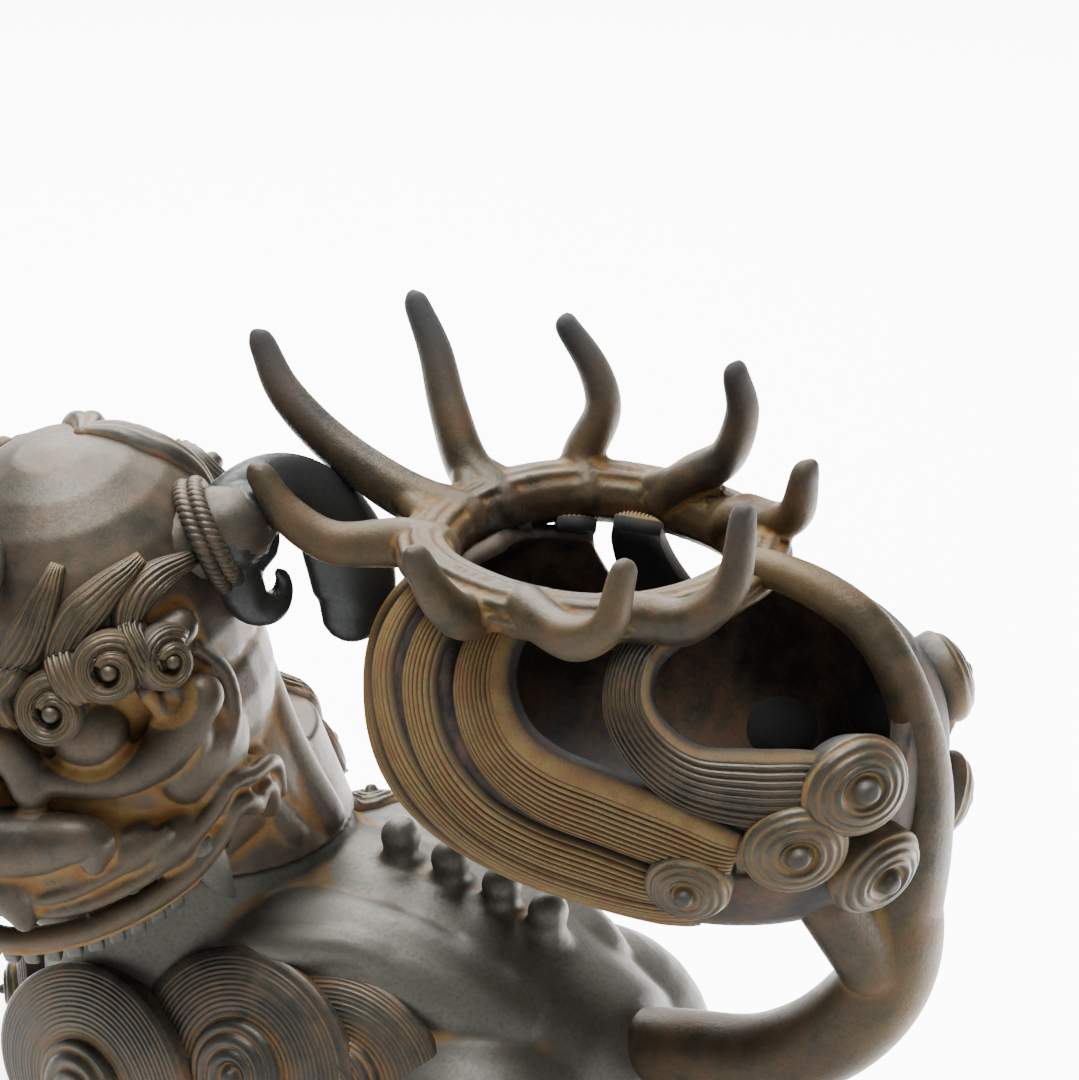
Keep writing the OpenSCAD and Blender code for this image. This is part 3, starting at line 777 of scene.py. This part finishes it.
def hind_leg(y, stride):
    parts = [limb([[0, 0.7 * y, 106, 33.5], [-6 + stride / 2, 0.93 * y, 86, 28],
                   [-12 + stride / 2, y, 70, 19], [4 + stride, y, 54, 13.5], [16 + stride, y, 40, 11.5],
                   [12 + stride, y, 14, 12]], sides=28)]
    return parts + paw(4 + stride, y)


def toes(x, y):
    """Each toe's place across the paw, and how far forward it starts: the middle two are the longer."""
    return [(y + k * 8.4, x - 2.5 * (1 - abs(k) / 1.5)) for k in (-1.5, -0.5, 0.5, 1.5)]


def paw(x, y):
    parts = [ball((x + 2, y, 11), (19, 14, 11.5))]
    for side, front in toes(x, y):
        parts.append(limb([[x - 2, side, 12, 5.6], [front - 9, side, 10.5, 5.6],
                           [front - 14, side, 6.5, 4.8]]))
    return parts


def claws(x, y):
    parts = []
    for side, front in toes(x, y):
        parts.append(limb([[front - 14, side, 7, 3.0], [front - 17.5, side, 4.5, 2.2],
                           [front - 18.5, side, 1.6, 0.9]], sides=14, step=0.8))
    return parts


def make_body():
    parts = [limb([[-118, 0, 114, 30], [-100, 0, 119, 40], [-86, 0, 122, 41], [-50, 0, 126, 39],
                   [-15, 0, 121, 39], [4, 0, 117, 34]], sides=44),
             ball((-122, 0, 116), (24, 36, 38)), ball((10, 0, 116), (22, 33, 33)),
             cone((NECK[0], NECK[1], 147), 46, 37, 42)]
    parts += both([ball((-99, -28, 108), (27, 23, 31)), ball((0, -26, 108), (34, 31, 33)),
                   limb([[-78, -26, 140, 18], [-56, -26, 146, 17], [-34, -24, 148, 15], [-14, -21, 144, 14],
                         [2, -18, 138, 13]]),
                   limb([[-66, -38, 150, 5], [-50, -38, 155, 6], [-34, -34, 157, 5], [-20, -31, 152, 4]]),
                   limb([[-62, -24, 92, 16], [-30, -22, 90, 15]])])
    parts += front_leg(-38, 0) + front_leg(38, -7) + hind_leg(-38, 0) + hind_leg(38, 7)
    parts += [limb([[-4, 0, 132, 20], [12, 0, 128, 16], [27, 0, 129, 11.2]]),
              limb([[25.5, 0, 124, 5.5], [26.5, 0, 130, 12.6], [27.5, 0, 135, 5.5]])]
    for x, z in ((-41, 171), (-26, 168.5), (-11, 165), (2.5, 161)):
        parts.append(limb([[x, 0, z - 10, 7], [x, 0, z - 4, 4.6], [x, 0, z, 5.6]]))
    for x in (-112, -119):
        y = -38 if x == -112 else 38
        parts.append(limb([[x + 14, y, 6, 8], [x - 6, y, 6, 10]]))
    body = fused("lion_body", parts, 1.35, rounds=5)
    points = coords(body)
    points[:, 2] = np.maximum(points[:, 2], 0.0)
    move_points(body, points)
    cut(body, [cone((NECK[0], NECK[1], 166), 32, 32, 20), cone((NECK[0], NECK[1], 150), 27, 27, 60)])
    return body


# The bulges of the flank and the chest on which the big discs of the mane are laid, and the discs: centre,
# radius, lift over the bulge, rings of line.
flank = Egg((-70, 0, 110), (112, 50, 64), 2.0)
DISCS = [((-100, -50, 108), 35, 10.5, 14), ((-55, -50, 125), 33, 5.5, 13), ((-27, -50, 127), 31, 1.6, 12),
         ((-86, -50, 84), 24, 3.0, 8)]
chest = Egg((-112, 0, 114), (38, 43, 46), 2.0)
CHEST_DISCS = [((-141, -29, 112), 18, 3.0, 6), ((-149, -14, 134), 14, 2.5, 5), ((-149, -14, 92), 14, 2.5, 5)]


def mane_disc(place, centre, radius, lift, lines):
    disc = curl("disc", place, centre, radius, lines, dome=2.4, groove=0.55, eye=0.38, hand=0, skirt=8.0,
                lift=lift, rim=0.09, flat=7.0)
    boss = curl("boss", place, centre, 0.42 * radius, 3.0, dome=4.4, groove=1.4, eye=0.2, hand=1,
                start=centre[0], skirt=2.0, lift=lift + 1.6)
    return [disc, boss]


def round_neck(angle, reach, height):
    return NECK[0] + reach * math.cos(angle), NECK[1] + reach * math.sin(angle), height


def make_mane(skin):
    """The big discs of both sides, and two rows of small curls round the right of the neck."""
    left = []
    for disc in DISCS:
        left += mane_disc(flank, *disc)
    for disc in CHEST_DISCS:
        left += mane_disc(chest, *disc)
    right = [put(part, Matrix.Translation((0, -5, 0))) for part in mirrored(left)]
    small = []
    for k, angle in enumerate(range(56, 151, 24)):
        a = math.radians(angle)
        for row, (z, radius) in enumerate(((158.5, 8.6), (147, 11))):
            b = a + 0.2 * row
            small.append(curl("curl", skin, round_neck(b, 46, z), radius, 3, dome=2.8, groove=1.0,
                              hand=1 if k % 2 else -1, start=angle, lift=0.6 - 0.6 * row,
                              reference=(0, 0, 1), skirt=4.0))
    return left, right, small


# Flame-shaped locks on the backs of the legs and at the haunch, on the left side.
TUFTS = [[[12, -56, 96, 6], [22, -52, 86, 10], [26, -48, 74, 9], [22, -45, 62, 4]],
         [[4, -58, 88, 6], [14, -56, 78, 9], [16, -51, 66, 8], [14, -48, 56, 3]],
         [[-84, -56, 92, 6], [-78, -54, 80, 9], [-78, -50, 66, 8], [-84, -47, 54, 3]],
         [[-90, -58, 84, 5], [-87, -56, 72, 8], [-88, -52, 60, 6], [-92, -49, 50, 3]]]


def make_tufts(skin):
    left = [lock("tuft", skin, rows, 4, crown=2.2, groove=0.9, thick=3.0, fade=0.2, lift=0.6)
            for rows in TUFTS]
    left.append(curl("haunch_scroll", skin, (-4, -60, 112), 15, 3, dome=2.4, groove=1.2, hand=-1, start=1.0,
                     flat=4.0))
    return left + mirrored(left)


# ---------- head ----------

def make_head():
    parts = [ball((0, 0, 7), (42.5, 42, 44)), ball((4, 0, -16), (34, 42, 38)),
             ball((-14, 0, -26), (30, 42, 24)),
             ball((-30, 0, -36), (32, 40, 17)), ball((-46, 0, -34), (19, 26, 16)),
             limb([[-40, 0, 2, 8], [-48, 0, -8, 9], [-56, 0, -20, 10], [-61, 0, -30, 8]],
                  flat=[(1, 0, 0.6), 0.9]),
             ball((-64.5, 0, -34), (6.5, 11, 11))]
    side = [limb([[-58, 0, -27, 10], [-56, -12, -27, 9.5], [-51, -23, -26, 8], [-47, -31, -24.5, 6.4],
                  [-44, -35, -27, 5.6], [-46, -35, -31, 3.5]]),
            limb([[-59.5, -8, -34, 8.5], [-59, -16, -38, 7], [-60, -20, -45, 3.2]]),
            ball((-10, -40, -20), (15, 8, 14)),
            limb([[-44, -22, -12, 4], [-34, -33, -15, 5], [-22, -41, -12, 6], [-10, -45, -2, 6]]),
            limb([[-64, -2, -52, 3.0], [-60, -14, -54, 3.2], [-50, -29, -52, 3.2], [-36, -39, -49, 3.2],
                  [-24, -44, -45, 3.2], [-15, -46, -40, 3.0], [-10, -47.5, -35, 3.0], [-6, -48, -36, 2.8],
                  [-4, -47, -40, 2.8], [0, -46, -37, 2.8], [3, -45, -40, 2.8], [4, -43, -47, 2.8]]),
            limb([[-62, -4, -46, 2.2], [-52, -26, -45, 2.4], [-38, -38, -42, 2.4], [-26, -43, -38, 2.4],
                  [-17, -46, -33, 2.4], [-10, -47.5, -28, 2.4], [-3, -48, -30, 2.2], [3, -47, -31, 2.2],
                  [8, -44, -36, 2.2], [9, -42, -46, 2.0]]),
            limb([[-60, -6, -41, 2.0], [-54, -25, -40, 2.2], [-40, -37, -36, 2.2], [-28, -42, -32, 2.0]]),
            limb([[-5, -42, 8, 2.0], [0, -43, -2, 2.6], [-2, -45, -12, 2.8], [-8, -46, -20, 2.2]]),
            ball((-32, -34, -35), (11, 8, 7)), ball((-22, -39, -38), (13, 7, 8)),
            ball((-3, -42, -36), (9, 4.5, 8)),
            ball((-31, -27, -4), 9.8),
            limb([[-43, -17, -7, 2.2], [-41, -26, -12, 2.2], [-34, -33, -14.5, 2.2], [-25, -38, -11, 2.2],
                  [-19, -40, -3, 2]]),
            limb([[-21, -39, 5, 2.2], [-18, -42, -6, 2.6], [-22, -41, -15, 2.2]]),
            limb([[-15, -42, 3, 2.2], [-12, -45, -7, 2.8], [-16, -45, -18, 2.2]]),
            limb([[-42, -8, 6, 6], [-39, -17, 8, 6], [-29, -30, 12, 6], [-17, -38, 14, 6], [-8, -41, 16, 5]]),
            limb([[2, -33, -52, 6], [-12, -28, -61, 5.4], [-26, -20, -65, 5], [-36, -10, -66, 5],
                  [-39, 0, -66, 5]]),
            limb([[4, -36, -38, 8], [3, -34, -48, 8], [-6, -30, -57, 6.5]]),
            limb([[-50, -12, 2, 5], [-47, -17, -6, 5], [-47, -20, -14, 5]])]
    parts += both(side)
    parts.append(ball((-24, 0, -65), (15, 18, 5)))
    parts.append(ball((-6, 0, -61), (19, 27, 8)))
    for part in parts:
        put(part, HEAD)
    parts += [cone((NECK[0], NECK[1], 181), 38, 29, 26), ball((-106, -26, 196), (33, 33, 28)),
              ball((-98, -9, 184), (33, 32, 16)),
              limb([[-90, -16, 226, 13], [-84, -16, 207, 14], [-78, -14, 189, 14], [-72, -9, 176, 12]]),
              limb([[-80, -13, 230, 5], [-74.5, -12, 211, 5.5], [-68, -9, 191, 5.5], [-61, -5, 174, 5.5]]),
              limb([[-86, -26, 222, 4], [-78, -28, 206, 5], [-71, -24, 189, 5.5], [-64, -17, 174, 5]])]
    head = fused("lion_head", parts, 0.92, rounds=3)
    gap = []
    for rows in ([[-80, 0, -57, 5.4], [-46, 0, -57, 5.4], [-12, 0, -54, 4.8]],
                 [[-60, -14, -57.5, 5], [-34, -26, -56, 5], [-6, -34, -52, 3.6]],
                 [[-60, 14, -57.5, 5], [-34, 26, -56, 5], [-6, 34, -52, 3.6]],
                 [[-76, -8, -60, 5], [-48, -39, -59, 5], [-24, -48, -56, 4.2], [-10, -46, -53, 3]],
                 [[-76, 8, -60, 5], [-48, 39, -59, 5], [-24, 48, -56, 4.2], [-10, 46, -53, 3]]):
        gap.append(put(limb(rows), HEAD))
    room = fused("room", gap, 1.4, rounds=2)
    cut(head, [room, cone((NECK[0], NECK[1], 148.15), 50.5, 39.8, 40.3),
               cone((NECK[0], NECK[1], 161.3), 30, 30, 22), cone((NECK[0], NECK[1], 177), 24, 16, 22)])
    hinge_slot = ball((-146, -8, 166), (11, 13.5, 9))
    return cut(head, [hinge_slot])


TEETH = [[-63, 0, -56], [-59, -14, -57.5], [-49, -28, -55.5], [-36, -37.5, -52.5], [-25, -42.5, -49]]


def make_teeth():
    parts, gums = [], []
    run = flow(TEETH, 12)
    ahead = unit_rows(np.gradient(run, axis=0))
    for k in range(11):
        deselect()
        bpy.ops.mesh.primitive_cube_add(size=1.0)
        tooth = bpy.context.object
        tooth.scale = (4.1, 3.4, 6.0)
        bpy.ops.object.transform_apply(location=False, rotation=False, scale=True)
        modify(tooth, "BEVEL", width=0.9, segments=3)
        put(tooth, Matrix.Translation(run[k] + (0, 0, -1.5))
            @ Matrix.Rotation(math.atan2(ahead[k][1], ahead[k][0]), 4, "Z")
            @ Matrix.Rotation(0.15, 4, "X"))
        parts.append(tooth)
    gums.append(limb([[*p, 3.1] for p in run + (0, 0, 1.5)]))
    fang = [[-20, -42, -42, 5.6], [-18.5, -43.5, -50, 4.4], [-17.5, -44.5, -56, 2.6], [-16, -45, -60, 1.0]]
    parts.append(limb(fang, sides=24, step=1))
    lower = flow([[-39, 0, -62], [-35, -10, -62], [-26, -20, -60], [-13, -28, -57]], 6)
    for p in lower[:5]:
        parts.append(limb([[p[0], p[1], p[2] - 3, 2.6], [p[0], p[1], p[2] + 1.5, 2.2]], sides=14))
    teeth = joined("teeth", both(parts))
    gum = joined("gums", both(gums))
    tongue = limb([[4, 0, -56, 9], [-20, 0, -59, 9], [-36, 0, -60, 7]], flat=[(0, 0, 1), 0.35])
    return put(teeth, HEAD), put(gum, HEAD), put(tongue, HEAD)


# The three locks of the brow, each from the crown of the head down to its curl, then the curls' places.
BROWS = [([[-20, -19, 34, 3.5], [-30, -20, 27, 9], [-37, -18, 20, 11], [-44, -14, 12, 9.5],
           [-47, -16, 5, 8.5]],
          (-39, -27, 7), (-.7, -.55, .45), 10.5, 2.4),
         ([[-7, -31, 32, 3.5], [-19, -31, 30, 9], [-27, -28, 25, 11], [-32, -27, 18, 10], [-33, -31, 10, 9]],
          (-28, -37, 15), (-.55, -.7, .45), 10.0, 2.2),
         ([[5, -37, 27, 3.5], [-7, -37, 29, 8], [-15, -36, 26, 9], [-20, -38, 19, 8], [-20, -42, 11, 7]],
          (-17, -44, 13), (-.15, -.93, .33), 9.0, 2.2)]


def scroll(place, centre, radius, turns, first, hand=1):
    """The end of a lock rolled up like cord, with its bead. first is the angle at which the roll begins."""
    lean = place.normal
    e1 = np.array((-0.3, 0.2, -1.0))
    e1 = e1 - lean * (e1 @ lean)
    e1 /= np.linalg.norm(e1)
    e2 = np.cross(lean, e1)
    rows = []
    for t in np.linspace(0, 1, 16):
        a = first + hand * 2 * math.pi * turns * t
        r = radius * (0.78 - 0.52 * t)
        spot = place.point + r * (e1 * math.cos(a) + e2 * math.sin(a)) + lean * 2.2 * t
        rows.append([*spot, radius * (0.62 - 0.24 * t)])
    return [Rise(place, rows, lean).lock(), ball(place.point + lean * 4.0, 0.2 * radius),
            ball(place.point - lean * 0.72 * radius, 0.82 * radius, detail=24)]


class Rise(Plane):
    """A flat place that climbs along a run, so that a roll stands proud in its middle."""

    def __init__(self, place, rows, lean):
        super().__init__(place.point, lean)
        self.rows = np.array(rows)

    def on(self, points):
        spots, lean = super().on(points)
        near = ((points[:, None] - self.rows[None, :, :3]) ** 2).sum(2).argmin(1)
        climb = (self.rows[near, :3] - self.point) @ self.normal
        return spots + climb[:, None] * self.normal, lean

    def lock(self):
        return lock("roll", self, self.rows, 4, crown=2.6, groove=0.55, thick=4.5, fade=0.08, lift=1.0,
                    step=0.5)


def local_skin(head):
    """The head's skin, taken back into the head's own frame."""
    twin = head.copy()
    twin.data = head.data.copy()
    bpy.context.scene.collection.objects.link(twin)
    put(twin, HEAD.inverted())
    skin = Skin(twin)
    bpy.data.objects.remove(twin)
    return skin


def make_brows(skin):
    left = []
    for rows, centre, lean, radius, first in BROWS:
        left.append(lock("brow", skin, rows, 6, crown=3.4, groove=0.8, thick=4.0, fade=0.12, lift=1.8,
                         step=0.7))
        place = Plane(np.array(centre) + 0.5 * np.array(lean), lean)
        left += scroll(place, centre, radius, 1.35, first)
    return joined("brows", [put(part, HEAD) for part in both(left)])


def make_head_hair(skin):
    leaf = [[10, 2, 52, 4], [16, -4, 49, 9], [21, -12, 45, 12], [26, -19, 38, 10], [27, -26, 31, 4]]
    left = [lock("leaf", skin, leaf, 2, crown=2.6, groove=0.7, thick=3.0, fade=0.3, lift=0.4)]
    for k, (y, z) in enumerate(((-14, 30), (-12, 8))):
        left.append(curl("back_curl", skin, (40, y, z), 11, 4, dome=3.0, groove=1.0,
                         hand=1 if k % 2 else -1, start=k, lift=0.3, reference=(0, 0, 1)))
    ring = [[-35 + 8.6 * math.cos(a), 12 * math.sin(a), 35.5 + 8.6 * math.cos(a), 1.7]
            for a in np.linspace(0, 2 * math.pi, 25)]
    middle = [limb(ring, sides=16), ball((-35, 0, 34), 4.0)]
    return joined("head_hair", [put(part, HEAD) for part in both(left) + middle])


def make_ruff(skin):
    """Curls of the ruff in two rows round the right of the neck, above the seat."""
    parts = []
    for k, angle in enumerate(range(66, 145, 26)):
        for row, (z, radius, reach) in enumerate(((180, 10.5, 44), (197, 12, 50))):
            a = math.radians(angle + 13 * row)
            parts.append(curl("ruff", skin, round_neck(a, reach, z), radius, 4, dome=3.2, groove=1.0,
                              hand=1 if k % 2 else -1, start=angle, lift=0.3 + 0.5 * row,
                              reference=(0, 0, 1), skirt=3.0))
    return joined("ruff", parts)


def make_collar():
    """Twisted cords round the root of the ear, and the root itself."""
    axis = np.array((0.75, -0.62, 0.22))
    axis /= np.linalg.norm(axis)
    e1 = unit_rows(np.cross(axis, [[0.0, 1.0, 0.0]]))[0]
    e2 = np.cross(axis, e1)
    parts = [limb([[6, -27, 24, 11], [19, -36.5, 27, 11.2]])]
    for k, radius in enumerate((13.2, 12.6)):
        centre = np.array((13.5, -32.3, 26)) + 3.2 * k * axis
        loop = np.array([centre + radius * (e1 * math.cos(a) + e2 * math.sin(a))
                         for a in np.linspace(0, 2 * math.pi, 121)])
        outward = unit_rows(loop - centre)
        for strand in range(3):
            turn = np.linspace(0, 2 * math.pi * 16, 121) + 2 * math.pi * strand / 3
            path = loop + 1.0 * (outward * np.cos(turn)[:, None] + axis * np.sin(turn)[:, None])
            parts.append(limb([[*p, 1.3] for p in path], sides=10, step=0.8))
    lower = [put(part, Matrix.Translation((0, 0, -6))) for part in mirrored(parts)]
    pins = both([ball((12, -36, 33.5), 3.2)])
    cords = joined("ear_cords", [put(part, HEAD) for part in parts + lower + pins])
    return recess_from_shape(cords, 6, 0.5)


def make_ear():
    lean = (-0.45, -0.7, 0.5)
    parts = [limb([[18, -37, 25, 12], [23, -38, 30, 10.5], [30, -40, 32, 9], [37, -43, 28, 9],
                   [41, -47, 19, 10], [41.5, -50, 9, 11], [39.5, -52, 0, 10.5], [37.5, -52, -5, 8.5]],
                  flat=[lean, 0.42], sides=36, step=1.2),
             limb([[16, -36, 25, 10.5], [22, -38, 28, 9.5]]),
             limb([[14, -39, 20, 7], [13, -42, 13, 6], [14.5, -44, 8.5, 5], [18, -46, 7, 4],
                   [22, -46, 9, 2.8], [23.4, -45.5, 12, 2.0], [22.4, -45.5, 14, 1.5]],
                  flat=[lean, 0.7], sides=24, step=1.0)]
    ear = fused("ear", parts, 0.7, rounds=6)
    recess_from_shape(ear, 20, 0.8)
    return ear


def mark_round(obj, centre, inner, outer, value):
    """Sets the recess of the points that lie between two distances of a place in the head's own frame."""
    place = np.array(HEAD @ Vector(centre))
    away = np.linalg.norm(coords(obj) - place, axis=1)
    values = np.empty(len(away))
    layer = obj.data.attributes["recess"]
    layer.data.foreach_get("value", values)
    soft = np.clip((away - inner) / 1.2, 0, 1) * np.clip((outer - away) / 1.5, 0, 1)
    write_recess(obj, np.maximum(values, value * soft))


body = make_body()
body_skin = Skin(body)
recess_from_shape(body, 30, 0.9)
left_mane, right_mane, neck_curls = make_mane(body_skin)
tufts = make_tufts(body_skin)
claw_parts = claws(-112, -38) + claws(-119, 38) + claws(4, -38) + claws(11, 38)
head = make_head()
head_skin = Skin(head)
own_skin = local_skin(head)
recess_from_shape(head, 22, 0.55)
for eye_side in (-1, 1):
    mark_round(head, (-31, 27 * eye_side, -4), 9.6, 14.0, 1.0)
    mark_round(head, (-16, 41 * eye_side, 0), 4.0, 9.0, 0.8)
brows = make_brows(own_skin)
hair = make_head_hair(own_skin)
ruff = make_ruff(head_skin)
teeth, gums, tongue = make_teeth()
cords = make_collar()
left_ear = make_ear()
right_ear = mirrored([left_ear])[0]
put(right_ear, Matrix.Translation((14, 34, 18)) @ Matrix.Rotation(math.radians(35), 4, "Y")
    @ Matrix.Translation((-14, -34, -24)))
put(left_ear, HEAD)
put(right_ear, HEAD)
finished(body, skin_bronze, BODY, "body_casting")
finished(joined("mane_left", left_mane), mane_bronze, BODY)
finished(joined("mane_right", right_mane), mane_bronze, BODY)
finished(joined("neck_curls", neck_curls), mane_bronze, BODY)
finished(joined("tufts", tufts), groove_bronze, BODY)
finished(joined("claws", claw_parts), ear_bronze, BODY)
finished(head, face_bronze, COVER, "head_casting")
finished(brows, groove_bronze, COVER)
finished(hair, mane_bronze, COVER)
finished(ruff, mane_bronze, COVER)
finished(teeth, skin_bronze, COVER)
write_recess(gums, np.full(len(gums.data.vertices), 1.0))
finished(gums, face_bronze, COVER)
# The tongue is painted near black: painted shade inside the mouth.
finished(tongue, shade_bronze, COVER)
finished(cords, face_bronze, COVER)
finished(left_ear, ear_bronze, COVER, "left_ear")
finished(right_ear, ear_bronze, COVER, "right_ear")


# ---------- camera, floor and light ----------

FLOOR_GLOW = 9.0


def make_camera():
    azimuth, elevation, distance = math.radians(30), math.radians(23), 0.8
    target = TO_FRAME @ Vector((0.0, 0.0, 262.0))
    away = Vector((math.sin(azimuth) * math.cos(elevation), -math.cos(azimuth) * math.cos(elevation),
                   math.sin(elevation)))
    data = bpy.data.cameras.new("camera")
    data.sensor_width = 36.0
    data.lens = 111.2
    camera = bpy.data.objects.new("camera", data)
    camera.location = target + distance * away
    camera.rotation_euler = away.to_track_quat("Z", "Y").to_euler()
    bpy.context.scene.collection.objects.link(camera)
    bpy.context.scene.camera = camera


def make_floor():
    """A white table that glows from a hand's breadth behind the figure: painted light, bright as paper is
    with a window behind it.
    """
    deselect()
    bpy.ops.mesh.primitive_plane_add(size=8.0, location=(0, 0, 0))
    floor = bpy.context.object
    floor.name = "floor"
    material = bpy.data.materials.new("white table")
    material.use_nodes = True
    tree = material.node_tree
    shader = tree.nodes["Principled BSDF"]
    shader.inputs["Base Color"].default_value = (0.8, 0.8, 0.8, 1)
    shader.inputs["Roughness"].default_value = 0.9
    shader.inputs["Emission Color"].default_value = (1, 1, 1, 1)
    where = node_of(tree, "ShaderNodeTexCoord").outputs["Object"]
    apart = node_of(tree, "ShaderNodeSeparateXYZ")
    tree.links.new(where, apart.inputs[0])
    glow = math_of(tree, "MULTIPLY", ramp_of(tree, apart.outputs["Y"], 0.0, 0.22), FLOOR_GLOW)
    tree.links.new(glow, shader.inputs["Emission Strength"])
    floor.data.materials.append(material)


def area_light(name, place, aim, size, power, tint=(1, 1, 1)):
    data = bpy.data.lights.new(name, "AREA")
    data.size = size
    data.energy = power
    data.color = tint
    lamp = bpy.data.objects.new(name, data)
    lamp.location = place
    lamp.rotation_euler = (Vector(place) - Vector(aim)).to_track_quat("Z", "Y").to_euler()
    bpy.context.scene.collection.objects.link(lamp)


def make_light():
    world = bpy.data.worlds.new("studio")
    bpy.context.scene.world = world
    world.use_nodes = True
    world.node_tree.nodes["Background"].inputs[0].default_value = (1, 1, 1, 1)
    world.node_tree.nodes["Background"].inputs[1].default_value = 0.30
    area_light("window behind", (-0.7, 0.9, 1.2), (0, 0, 0.2), 1.2, 60)
    area_light("overhead", (-0.2, -0.1, 1.6), (0, 0, 0.2), 0.8, 47)
    area_light("fill", (1.0, -1.1, 0.6), (0, 0, 0.2), 1.0, 4)


make_camera()
make_floor()
make_light()

for name in ("seat_ring", "spigot_ring", "hinge_bracket", "hinge_arm", "hinge_pin", "belly_plate",
             "belly_plate_rivets", "tail_tenon_pin", "left_ear_pin", "right_ear_pin"):
    for node_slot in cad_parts[name].material_slots:
        node_slot.material = plain_bronze
for node_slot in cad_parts["ash_liner"].material_slots:
    node_slot.material = copper
